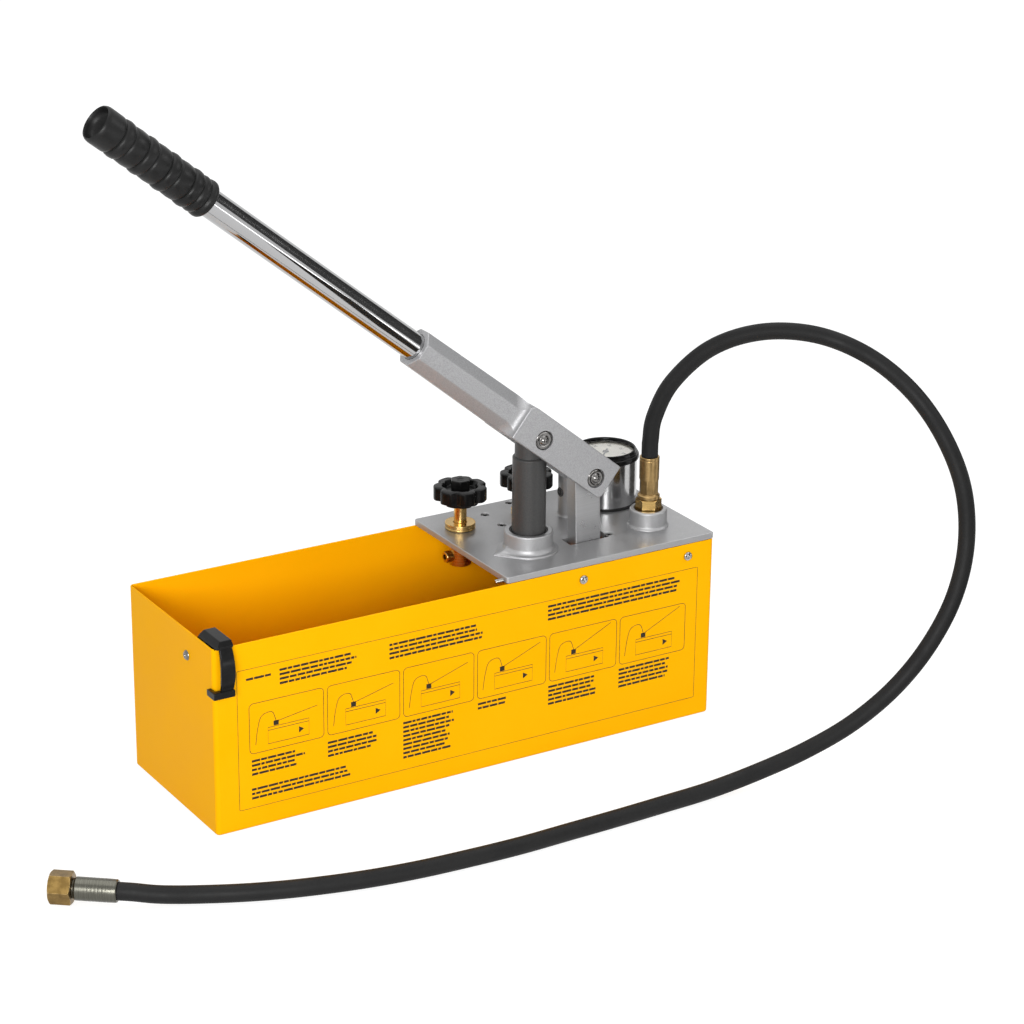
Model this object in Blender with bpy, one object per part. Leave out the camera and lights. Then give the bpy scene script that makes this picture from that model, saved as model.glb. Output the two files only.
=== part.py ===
"""Hand-operated hydrostatic test pump on an open sheet-metal tank.

The origin is the centre of the tank's underside. +Z is up, +X points to the pump's end of the tank and +Y
to its back. All sizes are in metres. The lever, the link, the latch and the hose's end fitting are modelled
in frames of their own, which are empties placed on their axes.
"""

import math

import bpy
import bmesh
from mathutils import Vector

# Clearances that every piece shares
FIT_GAP = 0.0003
CUT_OVERRUN = 0.002

# Tank
TANK_LENGTH = 0.515
TANK_WIDTH = 0.168
TANK_HEIGHT = 0.176
TANK_WALL = 0.0015
TANK_CORNER_RADIUS = 0.004

# Cast plate that covers the tank's right-hand part
PLATE_LENGTH = 0.224
PLATE_THICKNESS = 0.006
PLATE_CORNER_RADIUS = 0.003
PLATE_EDGE_BEVEL = 0.0008

# Screws through the tank's long walls, and the plate's lugs that they enter
SIDE_SCREW_NEAR_FROM_END = 0.0292
SIDE_SCREW_FAR_FROM_END = 0.1432
SIDE_SCREW_DROP = 0.0119
SIDE_SCREW_HEAD_RADIUS = 0.0043
SIDE_SCREW_HEAD_HEIGHT = 0.0028
SIDE_SCREW_SHANK_RADIUS = 0.0024
SIDE_SCREW_LENGTH = 0.012
SIDE_SCREW_SOCKET_RADIUS = 0.0015
SIDE_SCREW_SOCKET_DEPTH = 0.0014
SCREW_LUG_WIDTH = 0.020
SCREW_LUG_DEPTH = 0.014
SCREW_LUG_HEIGHT = 0.0223

# Small recessed screws in the plate
PLATE_SCREW_RADIUS = 0.0027
PLATE_SCREW_RECESS = 0.0015
PLATE_SCREW_LENGTH = 0.003
PLATE_SCREW_SOCKET_RADIUS = 0.0012
PLATE_SCREW_SOCKET_DEPTH = 0.0012
CLAMP_SCREW_LENGTH = 0.014
CLAMP_SCREW_FROM_END = 0.1606
CLAMP_SCREW_FRONT_Y_SHARE = 0.0302 / 0.084
CLAMP_SCREW_BACK_Y_SHARE = 0.0607 / 0.084
BACK_SCREW_FROM_END = 0.1245
BACK_SCREW_INSET = 0.008
SLOT_SCREW_FROM_END = 0.0873
SLOT_SCREW_FROM_LEVER_LINE = 0.0052

# Small lug under the plate's front left corner
CORNER_LUG_LENGTH = 0.018
CORNER_LUG_OVERHANG = 0.008
CORNER_LUG_RADIUS = 0.0022
CORNER_LUG_INSET = 0.0075

# Piston, and the line in Y that piston, lever and link share. A share in Y is of the tank's half width.
LEVER_LINE_Y_SHARE = -0.033 / 0.084
CYLINDER_FROM_END = 0.1705
PISTON_RADIUS = 0.0155
PISTON_NECK_RADIUS = 0.0135
PISTON_NECK_LENGTH = 0.0217
PISTON_LENGTH_BELOW_PIN = 0.1247
PISTON_PIN_HEIGHT = 0.1124
PISTON_SHOULDER_BEVEL = 0.0012

# Guide ring near the piston's lower end
GUIDE_RING_BULGE = 0.0004
GUIDE_RING_DEPTH = 0.0013
GUIDE_RING_WIDTH = 0.0036
GUIDE_RING_FROM_END = 0.003

# Barrel under the plate
BARREL_WALL = 0.0048
BARREL_LENGTH = 0.076
BARREL_FLOOR = 0.006
BARREL_INLET_RADIUS = 0.004

# Boss on the plate round the piston, its pointed foot, and the seal in its mouth
BOSS_WALL = 0.0045
BOSS_HEIGHT = 0.019
BOSS_RIM_BEVEL = 0.001
BOSS_FOOT_WIDTH = 0.005
BOSS_FOOT_HEIGHT = 0.002
BOSS_FILLET = 0.0025
BOSS_EAR_REACH = 0.0366
BOSS_EAR_TIP_RADIUS = 0.002
SEAL_WALL = 0.0019
SEAL_LENGTH = 0.0108
SEAL_SETBACK = 0.0005

# Lever: angle at rest, pin spacing along and across its tube, and the cast arm
LEVER_REST_ANGLE = math.radians(38.9)
PIN_SPACING_ALONG = 0.0725
PIN_SPACING_ACROSS = 0.0011
TUBE_AXIS_OVER_FULCRUM = 0.0040
CHEEK_THICKNESS = 0.009
CHEEK_CLEARANCE = 0.0005
CLEVIS_PAST_FULCRUM = 0.0172
CLEVIS_PAST_PISTON_PIN = 0.0315
CLEVIS_BELOW_FULCRUM = 0.0135
CLEVIS_WEB_THICKNESS = 0.004
CLEVIS_EYE_CLEARANCE = 0.0006
CLEVIS_CORNER_RADIUS = 0.005
CLEVIS_EDGE_BEVEL = 0.001
CLEVIS_SLOT_PAST_PISTON_PIN = 0.0205
SOCKET_LENGTH = 0.128
SOCKET_ROOT_ACROSS_FLATS = 0.036
SOCKET_MOUTH_ACROSS_FLATS = 0.034
SOCKET_COVE_LENGTH = 0.010
SOCKET_ROOT_OVERLAP = 0.004
SOCKET_MOUTH_BEVEL = 0.0012
LEVER_PIN_RADIUS = 0.006
PIN_HEAD_RADIUS = 0.0086
PIN_HEAD_THICKNESS = 0.0012
PIN_HEAD_DOME = 0.0012
PIN_HEAD_DOME_SHARES = (0.5, 0.85)
PIN_HEAD_RECESS_RADIUS = 0.0093
PIN_HEAD_RECESS_DEPTH = 0.0028
CLIP_GROOVE_DEPTH = 0.0011
CLIP_THICKNESS = 0.0012
CLIP_RADIUS = 0.0085
CLIP_MOUTH = 0.007
PIN_END_LENGTH = 0.0014

# Chromed tube and grip
TUBE_RADIUS = 0.0125
TUBE_WALL = 0.00175
TUBE_SEAT_DEPTH = 0.083
TUBE_LENGTH = 0.440
GRIP_RADIUS = 0.017
GRIP_LENGTH = 0.1225
GRIP_END_THICKNESS = 0.012
GRIP_PLAIN_LENGTH = 0.0205
GRIP_BEAD_WIDTH = 0.0095
GRIP_NOTCH_DEPTH = 0.0007
GRIP_NOTCH_WIDTH = 0.0008
GRIP_END_ROUND = 0.003
GRIP_DISC_RADIUS = 0.0125
GRIP_DISC_RECESS = 0.0012
GRIP_BEADS = 4

# Fulcrum link, its spacers, base pin and the lugs that carry the pin
LINK_LENGTH = 0.09237
LINK_LEAN = math.radians(1.78)
LINK_WIDTH = 0.027
LINK_THICKNESS = 0.015
LINK_EDGE_BEVEL = 0.001
FRONT_SPACER_LENGTH = 0.0044
SPACER_RADIUS = 0.009
BASE_PIN_RADIUS = 0.0045
BASE_PIN_OVERHANG = 0.002
FOOT_EYE_PLAY_ALONG = 0.005
FOOT_EYE_PLAY_UP = 0.0025
BASE_LUG_CLEARANCE = 0.001
BASE_LUG_THICKNESS = 0.007
BASE_LUG_RADIUS = 0.012
LINK_SLOT_LEFT_REACH = 0.0206
LINK_SLOT_RIGHT_REACH = 0.0224

# Manifold block under the plate, and its drilled passages
MANIFOLD_HEIGHT = 0.024
MANIFOLD_LEFT_FROM_END = 0.1815
MANIFOLD_RIGHT_FROM_END = 0.0255
MANIFOLD_FRONT_Y_SHARE = 0.014 / 0.084
MANIFOLD_LUG_CLEARANCE = 0.0002
CYLINDER_ARM_WIDTH = 0.020
OUTLET_ARM_WIDTH = 0.024
OUTLET_ARM_OVERLAP = 0.015
PASSAGE_RADIUS = 0.0025
PASSAGE_DEPTH = 0.012
MANIFOLD_BOSS_RADIUS = 0.007

# Valves
VALVE_Y_SHARE = 0.043 / 0.084
VALVE_1_FROM_END = 0.198
VALVE_2_FROM_END = 0.1263
GLAND_RADIUS = 0.01425
GLAND_HEIGHT = 0.006
GLAND_BEVEL = 0.0006
SPINDLE_RADIUS = 0.006
SPINDLE_DEPTH = 0.018
SPINDLE_TIP_RADIUS = 0.002
SPINDLE_TIP_LENGTH = 0.004
VALVE_NECK_WALL = 0.0014
VALVE_NECK_HEIGHT = 0.0045
VALVE_BODY_RADIUS = 0.0105
VALVE_BODY_LENGTH = 0.029
VALVE_BORE_FLOOR = 0.005
NIPPLE_RADIUS = 0.0055
NIPPLE_DROP = 0.020
NIPPLE_REACH = 0.0165
KNOB_RADIUS = 0.024
KNOB_LOBES = 7
KNOB_LOBE_DEPTH = 0.0025
KNOB_UNDERSIDE_HEIGHT = 0.0292
KNOB_RIM_HEIGHT = 0.0135
KNOB_EDGE_BEVEL = 0.0015
KNOB_RECESS_RADIUS = 0.0155
KNOB_RECESS_DEPTH = 0.003
KNOB_HUB_RADIUS = 0.0098
KNOB_HUB_RISE = 0.0055
KNOB_CEILING = 0.0015

# Delivery column, its cap, ball and side port
COLUMN_FROM_END = 0.0895
COLUMN_Y_SHARE = 0.0235 / 0.084
COLUMN_RADIUS = 0.012
COLUMN_HEIGHT = 0.048
COLUMN_FILLET = 0.002
COLUMN_BORE_RADIUS = 0.0065
COLUMN_SEAT_RADIUS = 0.0035
COLUMN_SEAT_HEIGHT = 0.008
COLUMN_CAP_ACROSS_FLATS = 0.021
COLUMN_CAP_HEIGHT = 0.008
COLUMN_CAP_SPIGOT = 0.010
COLUMN_CAP_BEVEL = 0.0008
DELIVERY_BALL_RADIUS = 0.005
PORT_HEIGHT = 0.0235
PORT_RADIUS = 0.0048
PORT_DEPTH = 0.0036
PORT_RIM_WALL = 0.0012

# Gauge that faces up
GAUGE_FROM_END = 0.0435
GAUGE_Y_SHARE = 0.0355 / 0.084
GAUGE_HEIGHT = 0.0527
GAUGE_BEZEL_RADIUS = 0.0315
GAUGE_BEZEL_HEIGHT = 0.0072
GAUGE_BEZEL_WALL = 0.0013
GAUGE_BEZEL_LIP = 0.003
GAUGE_BEZEL_LIP_THICKNESS = 0.0014
GAUGE_CAN_WALL = 0.001
GAUGE_LENS_THICKNESS = 0.0016
GAUGE_DIAL_THICKNESS = 0.0008
GAUGE_DIAL_DROP = 0.0046
GAUGE_FOOT_RING_WALL = 0.0018
GAUGE_FOOT_RING_HEIGHT = 0.003
GAUGE_STEM_RADIUS = 0.0065
GAUGE_STEM_DEPTH = 0.012
GAUGE_STEM_COLLAR_RADIUS = 0.009
GAUGE_STEM_COLLAR_HEIGHT = 0.006
NEEDLE_HUB_RADIUS = 0.003
NEEDLE_LENGTH = 0.019
NEEDLE_TAIL = 0.007
NEEDLE_WIDTH = 0.0016
NEEDLE_TIP_SHARE = 0.25
NEEDLE_THICKNESS = 0.0007
NEEDLE_AXLE_RADIUS = 0.0008
NEEDLE_AXLE_LENGTH = 0.003
NEEDLE_START = math.radians(-135)

# Outlet boss, nut and hose ferrule
OUTLET_FROM_END = 0.0422
OUTLET_Y_SHARE = -0.0366 / 0.084
OUTLET_BOSS_RADIUS = 0.0175
OUTLET_BOSS_HEIGHT = 0.017
OUTLET_FOOT_WIDTH = 0.0018
OUTLET_FOOT_HEIGHT = 0.0015
OUTLET_RECESS_WALL = 0.0035
OUTLET_RECESS_DEPTH = 0.0052
OUTLET_NUT_ACROSS_FLATS = 0.0211
OUTLET_NUT_HEIGHT = 0.0147
OUTLET_NUT_BEVEL = 0.001
OUTLET_SPIGOT_RADIUS = 0.008
OUTLET_SPIGOT_LENGTH = 0.012
FERRULE_RADIUS = 0.00905
FERRULE_LENGTH = 0.0407
FERRULE_FOOT_FLARE = 0.0006
FERRULE_FOOT_LENGTH = 0.0035
HOSE_BORE_RADIUS = 0.0035
OUTLET_NUT_TURN = math.radians(-31.5)

# Suction side under the barrel
FOOT_VALVE_RADIUS = 0.015
FOOT_VALVE_LENGTH = 0.0255
FOOT_VALVE_CHAMBER_RADIUS = 0.0075
FOOT_VALVE_CHAMBER_DEPTH = 0.016
FOOT_VALVE_SEAT_RADIUS = 0.004
FOOT_VALVE_BALL_RADIUS = 0.0055
FOOT_VALVE_SPIGOT_LENGTH = 0.008
STRAINER_WALL = 0.0015
STRAINER_OVER_FLOOR = 0.0105
STRAINER_SLOTS = 8
STRAINER_SLOT_WIDTH = 0.004
STRAINER_SLOT_FROM_BOTTOM = 0.006
STRAINER_SLOT_FROM_TOP = 0.0199

# Latch that holds the folded lever, and its rivet
LATCH_PIVOT_DROP = 0.0238
LATCH_PIVOT_Y_FROM_FRONT = 0.0512
LATCH_ARM_THICKNESS = 0.0112
LATCH_HUB_RADIUS = 0.009
LATCH_WALL_CLEARANCE = 0.0006
LATCH_STRAP_WIDTH = 0.0128
LATCH_STRAP_SETBACK = 0.0037
LATCH_STRAP_THICKNESS = 0.0034
LATCH_BAR_HEIGHT = 0.0067
LATCH_BAR_REACH = 0.032
LATCH_BAR_SLOPE = 0.008
LATCH_LIP_HEIGHT = 0.0067
LATCH_LIP_DROP = 0.0192
LATCH_LIP_OVERHANG = 0.0037
LATCH_LIP_WRAP = 0.0146
RIVET_SHANK_RADIUS = 0.0025
RIVET_HEAD_RADIUS = 0.0048
RIVET_HEAD_HEIGHT = 0.0018

# Hose and its end fitting, which lies on the ground
HOSE_RADIUS = 0.00775
HOSE_POINT_STEP = 0.037
HOSE_STRAIGHT_END = 0.012
HOSE_END_PLACE = (-0.383, -0.1545)
END_FITTING_HEADING = math.radians(142)
END_FERRULE_RADIUS = 0.010
END_FERRULE_LENGTH = 0.036
END_NUT_ACROSS_FLATS = 0.027
END_NUT_LENGTH = 0.0215
END_NUT_BEVEL = 0.0012
END_NUT_BORE_RADIUS = 0.0095
END_NUT_BORE_DEPTH = 0.013

# The free hose from just over the outlet's ferrule to just before the end fitting, as chosen points
HOSE_ROUTE = (
    (0.217, -0.040, 0.289),
    (0.227, -0.053, 0.325),
    (0.250, -0.079, 0.361),
    (0.280, -0.113, 0.381),
    (0.313, -0.151, 0.384),
    (0.344, -0.187, 0.370),
    (0.370, -0.219, 0.342),
    (0.389, -0.244, 0.304),
    (0.400, -0.263, 0.259),
    (0.399, -0.274, 0.210),
    (0.387, -0.277, 0.162),
    (0.364, -0.274, 0.118),
    (0.333, -0.267, 0.080),
    (0.294, -0.258, 0.050),
    (0.250, -0.248, 0.029),
    (0.202, -0.241, 0.016),
    (0.153, -0.238, 0.009),
    (0.103, -0.239, 0.008),
    (0.053, -0.241, 0.008),
    (0.003, -0.242, 0.008),
    (-0.047, -0.243, 0.008),
    (-0.097, -0.241, 0.008),
    (-0.147, -0.237, 0.008),
    (-0.196, -0.229, 0.008),
    (-0.246, -0.216, 0.008),
    (-0.285, -0.202, 0.008),
    (-0.323, -0.185, 0.0084),
    (-0.353, -0.172, 0.0104),
)

# How finely round shapes are divided
FINE_SIDES = 28
MEDIUM_SIDES = 16
SMALL_SIDES = 10
FINE_FROM_RADIUS = 0.0148
MEDIUM_FROM_RADIUS = 0.0042
ARC_STEPS = 3

# Places worked out from the sizes above
PLATE_RIGHT = TANK_LENGTH / 2
PLATE_LEFT = PLATE_RIGHT - PLATE_LENGTH
PLATE_HALF_WIDTH = TANK_WIDTH / 2
PLATE_BOTTOM = TANK_HEIGHT + FIT_GAP
PLATE_TOP = PLATE_BOTTOM + PLATE_THICKNESS
BLOCK_TOP = PLATE_BOTTOM - FIT_GAP
BLOCK_BOTTOM = BLOCK_TOP - MANIFOLD_HEIGHT
PASSAGE_Z = BLOCK_TOP - PASSAGE_DEPTH
LUG_INNER_Y = PLATE_HALF_WIDTH - TANK_WALL - FIT_GAP - SCREW_LUG_DEPTH
LEVER_LINE_Y = PLATE_HALF_WIDTH * LEVER_LINE_Y_SHARE

CYLINDER_X = PLATE_RIGHT - CYLINDER_FROM_END
BORE_RADIUS = PISTON_RADIUS + GUIDE_RING_BULGE + FIT_GAP
BARREL_RADIUS = BORE_RADIUS + BARREL_WALL
SEAL_INNER_RADIUS = PISTON_RADIUS + FIT_GAP
SEAL_OUTER_RADIUS = SEAL_INNER_RADIUS + SEAL_WALL
SEAL_RECESS_RADIUS = SEAL_OUTER_RADIUS + FIT_GAP
BOSS_RADIUS = SEAL_RECESS_RADIUS + BOSS_WALL
BOSS_FOOT_RADIUS = BOSS_RADIUS + BOSS_FOOT_WIDTH
BOSS_TOP = PLATE_TOP + BOSS_HEIGHT
SEAL_TOP = BOSS_TOP - SEAL_SETBACK
SEAL_BOTTOM = SEAL_TOP - SEAL_LENGTH

LEVER_ALONG = Vector((math.cos(LEVER_REST_ANGLE), 0, -math.sin(LEVER_REST_ANGLE)))
LEVER_ACROSS = Vector((math.sin(LEVER_REST_ANGLE), 0, math.cos(LEVER_REST_ANGLE)))
PISTON_PIN_PLACE = Vector((CYLINDER_X, LEVER_LINE_Y, PLATE_TOP + PISTON_PIN_HEIGHT))
FULCRUM_PLACE = PISTON_PIN_PLACE + LEVER_ALONG * PIN_SPACING_ALONG - LEVER_ACROSS * PIN_SPACING_ACROSS
BASE_PIN_PLACE = FULCRUM_PLACE + Vector((math.sin(LINK_LEAN), 0, -math.cos(LINK_LEAN))) * LINK_LENGTH

CLEVIS_HALF_GAP = PISTON_RADIUS + CHEEK_CLEARANCE
CLEVIS_HALF_WIDTH = CLEVIS_HALF_GAP + CHEEK_THICKNESS
EYE_RADIUS = LINK_WIDTH / 2
LEVER_PIN_HOLE_RADIUS = LEVER_PIN_RADIUS + FIT_GAP
LINK_FRONT_Y = -CLEVIS_HALF_GAP + FRONT_SPACER_LENGTH + 2 * FIT_GAP
LINK_BACK_Y = LINK_FRONT_Y + LINK_THICKNESS
FRONT_LUG_FACE_Y = LEVER_LINE_Y + LINK_FRONT_Y - BASE_LUG_CLEARANCE
BACK_LUG_FACE_Y = LEVER_LINE_Y + LINK_BACK_Y + BASE_LUG_CLEARANCE

MANIFOLD_LEFT = PLATE_RIGHT - MANIFOLD_LEFT_FROM_END
MANIFOLD_RIGHT = PLATE_RIGHT - MANIFOLD_RIGHT_FROM_END
MANIFOLD_FRONT_Y = PLATE_HALF_WIDTH * MANIFOLD_FRONT_Y_SHARE
MANIFOLD_BACK_Y = LUG_INNER_Y - MANIFOLD_LUG_CLEARANCE
CYLINDER_ARM_END_Y = LEVER_LINE_Y + BARREL_RADIUS + FIT_GAP
VALVE_1_X = PLATE_RIGHT - VALVE_1_FROM_END
VALVE_2_X = PLATE_RIGHT - VALVE_2_FROM_END
VALVE_Y = PLATE_HALF_WIDTH * VALVE_Y_SHARE
VALVE_BODY_BOTTOM = BLOCK_TOP - VALVE_BODY_LENGTH
VALVE_NECK_RADIUS = SPINDLE_RADIUS + FIT_GAP + VALVE_NECK_WALL
NECK_HOLE_RADIUS = VALVE_NECK_RADIUS + FIT_GAP
SPINDLE_BORE_RADIUS = SPINDLE_RADIUS + FIT_GAP
SPINDLE_BOTTOM = BLOCK_TOP - SPINDLE_DEPTH
KNOB_BOTTOM = PLATE_TOP + KNOB_UNDERSIDE_HEIGHT
KNOB_BORE_DEPTH = KNOB_RIM_HEIGHT - KNOB_RECESS_DEPTH - KNOB_CEILING

COLUMN_X = PLATE_RIGHT - COLUMN_FROM_END
COLUMN_Y = PLATE_HALF_WIDTH * COLUMN_Y_SHARE
COLUMN_TOP = PLATE_TOP + COLUMN_HEIGHT
COLUMN_SEAT_Z = PLATE_TOP + COLUMN_SEAT_HEIGHT
PORT_Z = PLATE_TOP + PORT_HEIGHT

GAUGE_X = PLATE_RIGHT - GAUGE_FROM_END
GAUGE_Y = PLATE_HALF_WIDTH * GAUGE_Y_SHARE
GAUGE_TOP = PLATE_TOP + GAUGE_HEIGHT
GAUGE_CAN_RADIUS = GAUGE_BEZEL_RADIUS - GAUGE_BEZEL_WALL - FIT_GAP
GAUGE_CAN_BOTTOM = PLATE_TOP + FIT_GAP
GAUGE_LENS_TOP = GAUGE_TOP - GAUGE_BEZEL_LIP_THICKNESS - FIT_GAP
GAUGE_LENS_BOTTOM = GAUGE_LENS_TOP - GAUGE_LENS_THICKNESS
GAUGE_CAN_TOP = GAUGE_LENS_BOTTOM - FIT_GAP
GAUGE_INNER_RADIUS = GAUGE_CAN_RADIUS - GAUGE_CAN_WALL
DIAL_TOP = GAUGE_TOP - GAUGE_DIAL_DROP
DIAL_BOTTOM = DIAL_TOP - GAUGE_DIAL_THICKNESS

OUTLET_X = PLATE_RIGHT - OUTLET_FROM_END
OUTLET_Y = PLATE_HALF_WIDTH * OUTLET_Y_SHARE
OUTLET_BOSS_TOP = PLATE_TOP + OUTLET_BOSS_HEIGHT
OUTLET_RECESS_RADIUS = OUTLET_BOSS_RADIUS - OUTLET_RECESS_WALL
OUTLET_RECESS_FLOOR = OUTLET_BOSS_TOP - OUTLET_RECESS_DEPTH
OUTLET_NUT_BOTTOM = OUTLET_RECESS_FLOOR + FIT_GAP
OUTLET_NUT_TOP = OUTLET_NUT_BOTTOM + OUTLET_NUT_HEIGHT
FERRULE_BOTTOM = OUTLET_NUT_TOP + FIT_GAP
FERRULE_TOP = FERRULE_BOTTOM + FERRULE_LENGTH

FOOT_VALVE_TOP = BLOCK_TOP - BARREL_LENGTH - FIT_GAP
FOOT_VALVE_BOTTOM = FOOT_VALVE_TOP - FOOT_VALVE_LENGTH
STRAINER_TOP = FOOT_VALVE_BOTTOM - FIT_GAP
STRAINER_BOTTOM = TANK_WALL + STRAINER_OVER_FLOOR
STRAINER_RADIUS = FOOT_VALVE_RADIUS + STRAINER_WALL / 2

LATCH_Y = LATCH_PIVOT_Y_FROM_FRONT - PLATE_HALF_WIDTH
LATCH_PLACE = Vector((-TANK_LENGTH / 2, LATCH_Y, TANK_HEIGHT - LATCH_PIVOT_DROP))
END_FITTING_Z = END_NUT_ACROSS_FLATS / 2

materials_by_name = {}


def make_material(name, color, roughness, metallic, alpha=1):
    """Make a Principled material, or return the one of that name."""
    if name not in materials_by_name:
        material = bpy.data.materials.new(name)
        material.use_nodes = True
        shader = material.node_tree.nodes["Principled BSDF"]
        shader.inputs["Base Color"].default_value = (*color, 1)
        shader.inputs["Roughness"].default_value = roughness
        shader.inputs["Metallic"].default_value = metallic
        shader.inputs["Alpha"].default_value = alpha
        material.diffuse_color = (*color, alpha)
        materials_by_name[name] = material
    return materials_by_name[name]


def yellow_paint():
    return make_material("yellow_paint", (0.95, 0.52, 0.0), 0.35, 0.0)


def cast_silver():
    return make_material("cast_silver", (0.36, 0.36, 0.37), 0.42, 0.7)


def dark_steel():
    return make_material("dark_steel", (0.07, 0.07, 0.07), 0.45, 0.3)


def bright_steel():
    return make_material("bright_steel", (0.55, 0.54, 0.52), 0.2, 1.0)


def chrome():
    return make_material("chrome", (0.8, 0.8, 0.8), 0.08, 1.0)


def brass():
    return make_material("brass", (0.62, 0.4, 0.14), 0.25, 1.0)


def black_plastic():
    return make_material("black_plastic", (0.015, 0.015, 0.015), 0.35, 0.0)


def black_rubber():
    return make_material("black_rubber", (0.02, 0.02, 0.02), 0.65, 0.0)


def dial_cream():
    return make_material("dial_cream", (0.75, 0.68, 0.55), 0.5, 0.0)


def clear_glass():
    return make_material("clear_glass", (0.95, 0.96, 0.96), 0.03, 0.0, 0.3)


def clear_scene():
    """Remove every object of the opened scene."""
    for item in list(bpy.data.objects):
        bpy.data.objects.remove(item, do_unlink=True)


def add_object(name, mesh, material=None, frame=None):
    """Put a mesh in the scene, under a frame if it has one."""
    item = bpy.data.objects.new(name, mesh)
    bpy.context.scene.collection.objects.link(item)
    item.parent = frame
    if material is not None:
        mesh.materials.append(material)
    return item


def finish_mesh(shape, name, smooth_angle=math.radians(35)):
    """Turn a bmesh into a mesh with its faces pointing out, shaded smooth but for its sharp edges."""
    bmesh.ops.recalc_face_normals(shape, faces=shape.faces)
    mesh = bpy.data.meshes.new(name)
    shape.to_mesh(mesh)
    shape.free()
    mesh.shade_smooth()
    mesh.set_sharp_from_angle(angle=smooth_angle)
    return mesh


def place(item, location, direction=None):
    """Move an object, and turn its own Z axis to a direction."""
    item.location = location
    if direction is not None:
        item.rotation_euler = Vector((0, 0, 1)).rotation_difference(Vector(direction)).to_euler()
    return item


def sides_for(radius):
    """How many sides a round shape of a radius gets, so that what fits together is divided alike."""
    if radius >= FINE_FROM_RADIUS:
        return FINE_SIDES
    return MEDIUM_SIDES if radius >= MEDIUM_FROM_RADIUS else SMALL_SIDES


def ring_of(shape, radius, height, sides):
    """Add a circle of vertices, or one vertex on the axis."""
    if radius == 0:
        return [shape.verts.new((0, 0, height))]
    ring = []
    for step in range(sides):
        angle = 2 * math.pi * step / sides
        ring.append(shape.verts.new((radius * math.cos(angle), radius * math.sin(angle), height)))
    return ring


def bridge(shape, first, second):
    """Join two rings with faces, where either may be a single vertex."""
    count = max(len(first), len(second))
    for step in range(count):
        after = (step + 1) % count
        corners = [first[step % len(first)], first[after % len(first)]]
        corners += [second[after % len(second)], second[step % len(second)]]
        unique = []
        for corner in corners:
            if corner not in unique:
                unique.append(corner)
        if len(unique) > 2:
            shape.faces.new(unique)


def turned(name, profile, material=None, sides=None, frame=None, hollow=False):
    """Turn a profile of (radius, height) points about Z. A hollow profile closes on itself."""
    shape = bmesh.new()
    sides = sides or sides_for(max(radius for radius, height in profile))
    rings = [ring_of(shape, radius, height, sides) for radius, height in profile]
    for first, second in zip(rings, rings[1:]):
        bridge(shape, first, second)
    if hollow:
        bridge(shape, rings[-1], rings[0])
    return add_object(name, finish_mesh(shape, name), material, frame)


def tube_profile(outer, inner, low, high):
    """The four corners of a plain tube's wall."""
    return [(outer, low), (outer, high), (inner, high), (inner, low)]


def rod_profile(radius, low, high):
    """The outline of a plain rod."""
    return [(0, low), (radius, low), (radius, high), (0, high)]


def extruded(name, outline, low, high, material=None, plane="XY", frame=None):
    """Extrude an outline of (a, b) points along the axis that is square to its plane."""
    shape = bmesh.new()
    layers = []
    for height in (low, high):
        if plane == "XY":
            layers.append([shape.verts.new((a, b, height)) for a, b in outline])
        elif plane == "XZ":
            layers.append([shape.verts.new((a, height, b)) for a, b in outline])
        else:
            layers.append([shape.verts.new((height, a, b)) for a, b in outline])
    bridge(shape, layers[0], layers[1])
    shape.faces.new(layers[0])
    shape.faces.new(layers[1])
    return add_object(name, finish_mesh(shape, name), material, frame)


def lofted(name, sections, material=None, frame=None):
    """Skin a row of like-numbered closed sections of 3-D points, with a face on each end."""
    shape = bmesh.new()
    rings = [[shape.verts.new(point) for point in section] for section in sections]
    for first, second in zip(rings, rings[1:]):
        bridge(shape, first, second)
    shape.faces.new(rings[0])
    shape.faces.new(rings[-1])
    return add_object(name, finish_mesh(shape, name), material, frame)


def arc(center_a, center_b, radius, start, end, steps):
    """Points on an arc, both ends included. Angles are in radians."""
    points = []
    for step in range(steps + 1):
        angle = start + (end - start) * step / steps
        points.append((center_a + radius * math.cos(angle), center_b + radius * math.sin(angle)))
    return points


def rectangle(low_a, high_a, low_b, high_b):
    return [(low_a, low_b), (high_a, low_b), (high_a, high_b), (low_a, high_b)]


def rounded_rectangle(low_a, high_a, low_b, high_b, radius, steps=ARC_STEPS):
    """A rectangle with round corners, counter-clockwise."""
    points = arc(high_a - radius, low_b + radius, radius, -math.pi / 2, 0, steps)
    points += arc(high_a - radius, high_b - radius, radius, 0, math.pi / 2, steps)
    points += arc(low_a + radius, high_b - radius, radius, math.pi / 2, math.pi, steps)
    points += arc(low_a + radius, low_b + radius, radius, math.pi, 3 * math.pi / 2, steps)
    return points


def obround(half_along, half_across, center_b, steps):
    """A slot outline with round ends, long in its first direction."""
    reach = half_along - half_across
    points = arc(reach, center_b, half_across, -math.pi / 2, math.pi / 2, steps)
    points += arc(-reach, center_b, half_across, math.pi / 2, 3 * math.pi / 2, steps)
    return points


def hexagon(across_flats, turn=0):
    """The corners of a hexagon about the origin."""
    corner_radius = across_flats / 2 / math.cos(math.pi / 6)
    angles = [turn + math.pi / 3 * side for side in range(6)]
    return [(corner_radius * math.cos(angle), corner_radius * math.sin(angle)) for angle in angles]


def bevel(item, width, segments=1):
    """Bevel an object's sharp edges."""
    modifier = item.modifiers.new("Bevel", "BEVEL")
    modifier.width = width
    modifier.segments = segments
    modifier.limit_method = "ANGLE"


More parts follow.
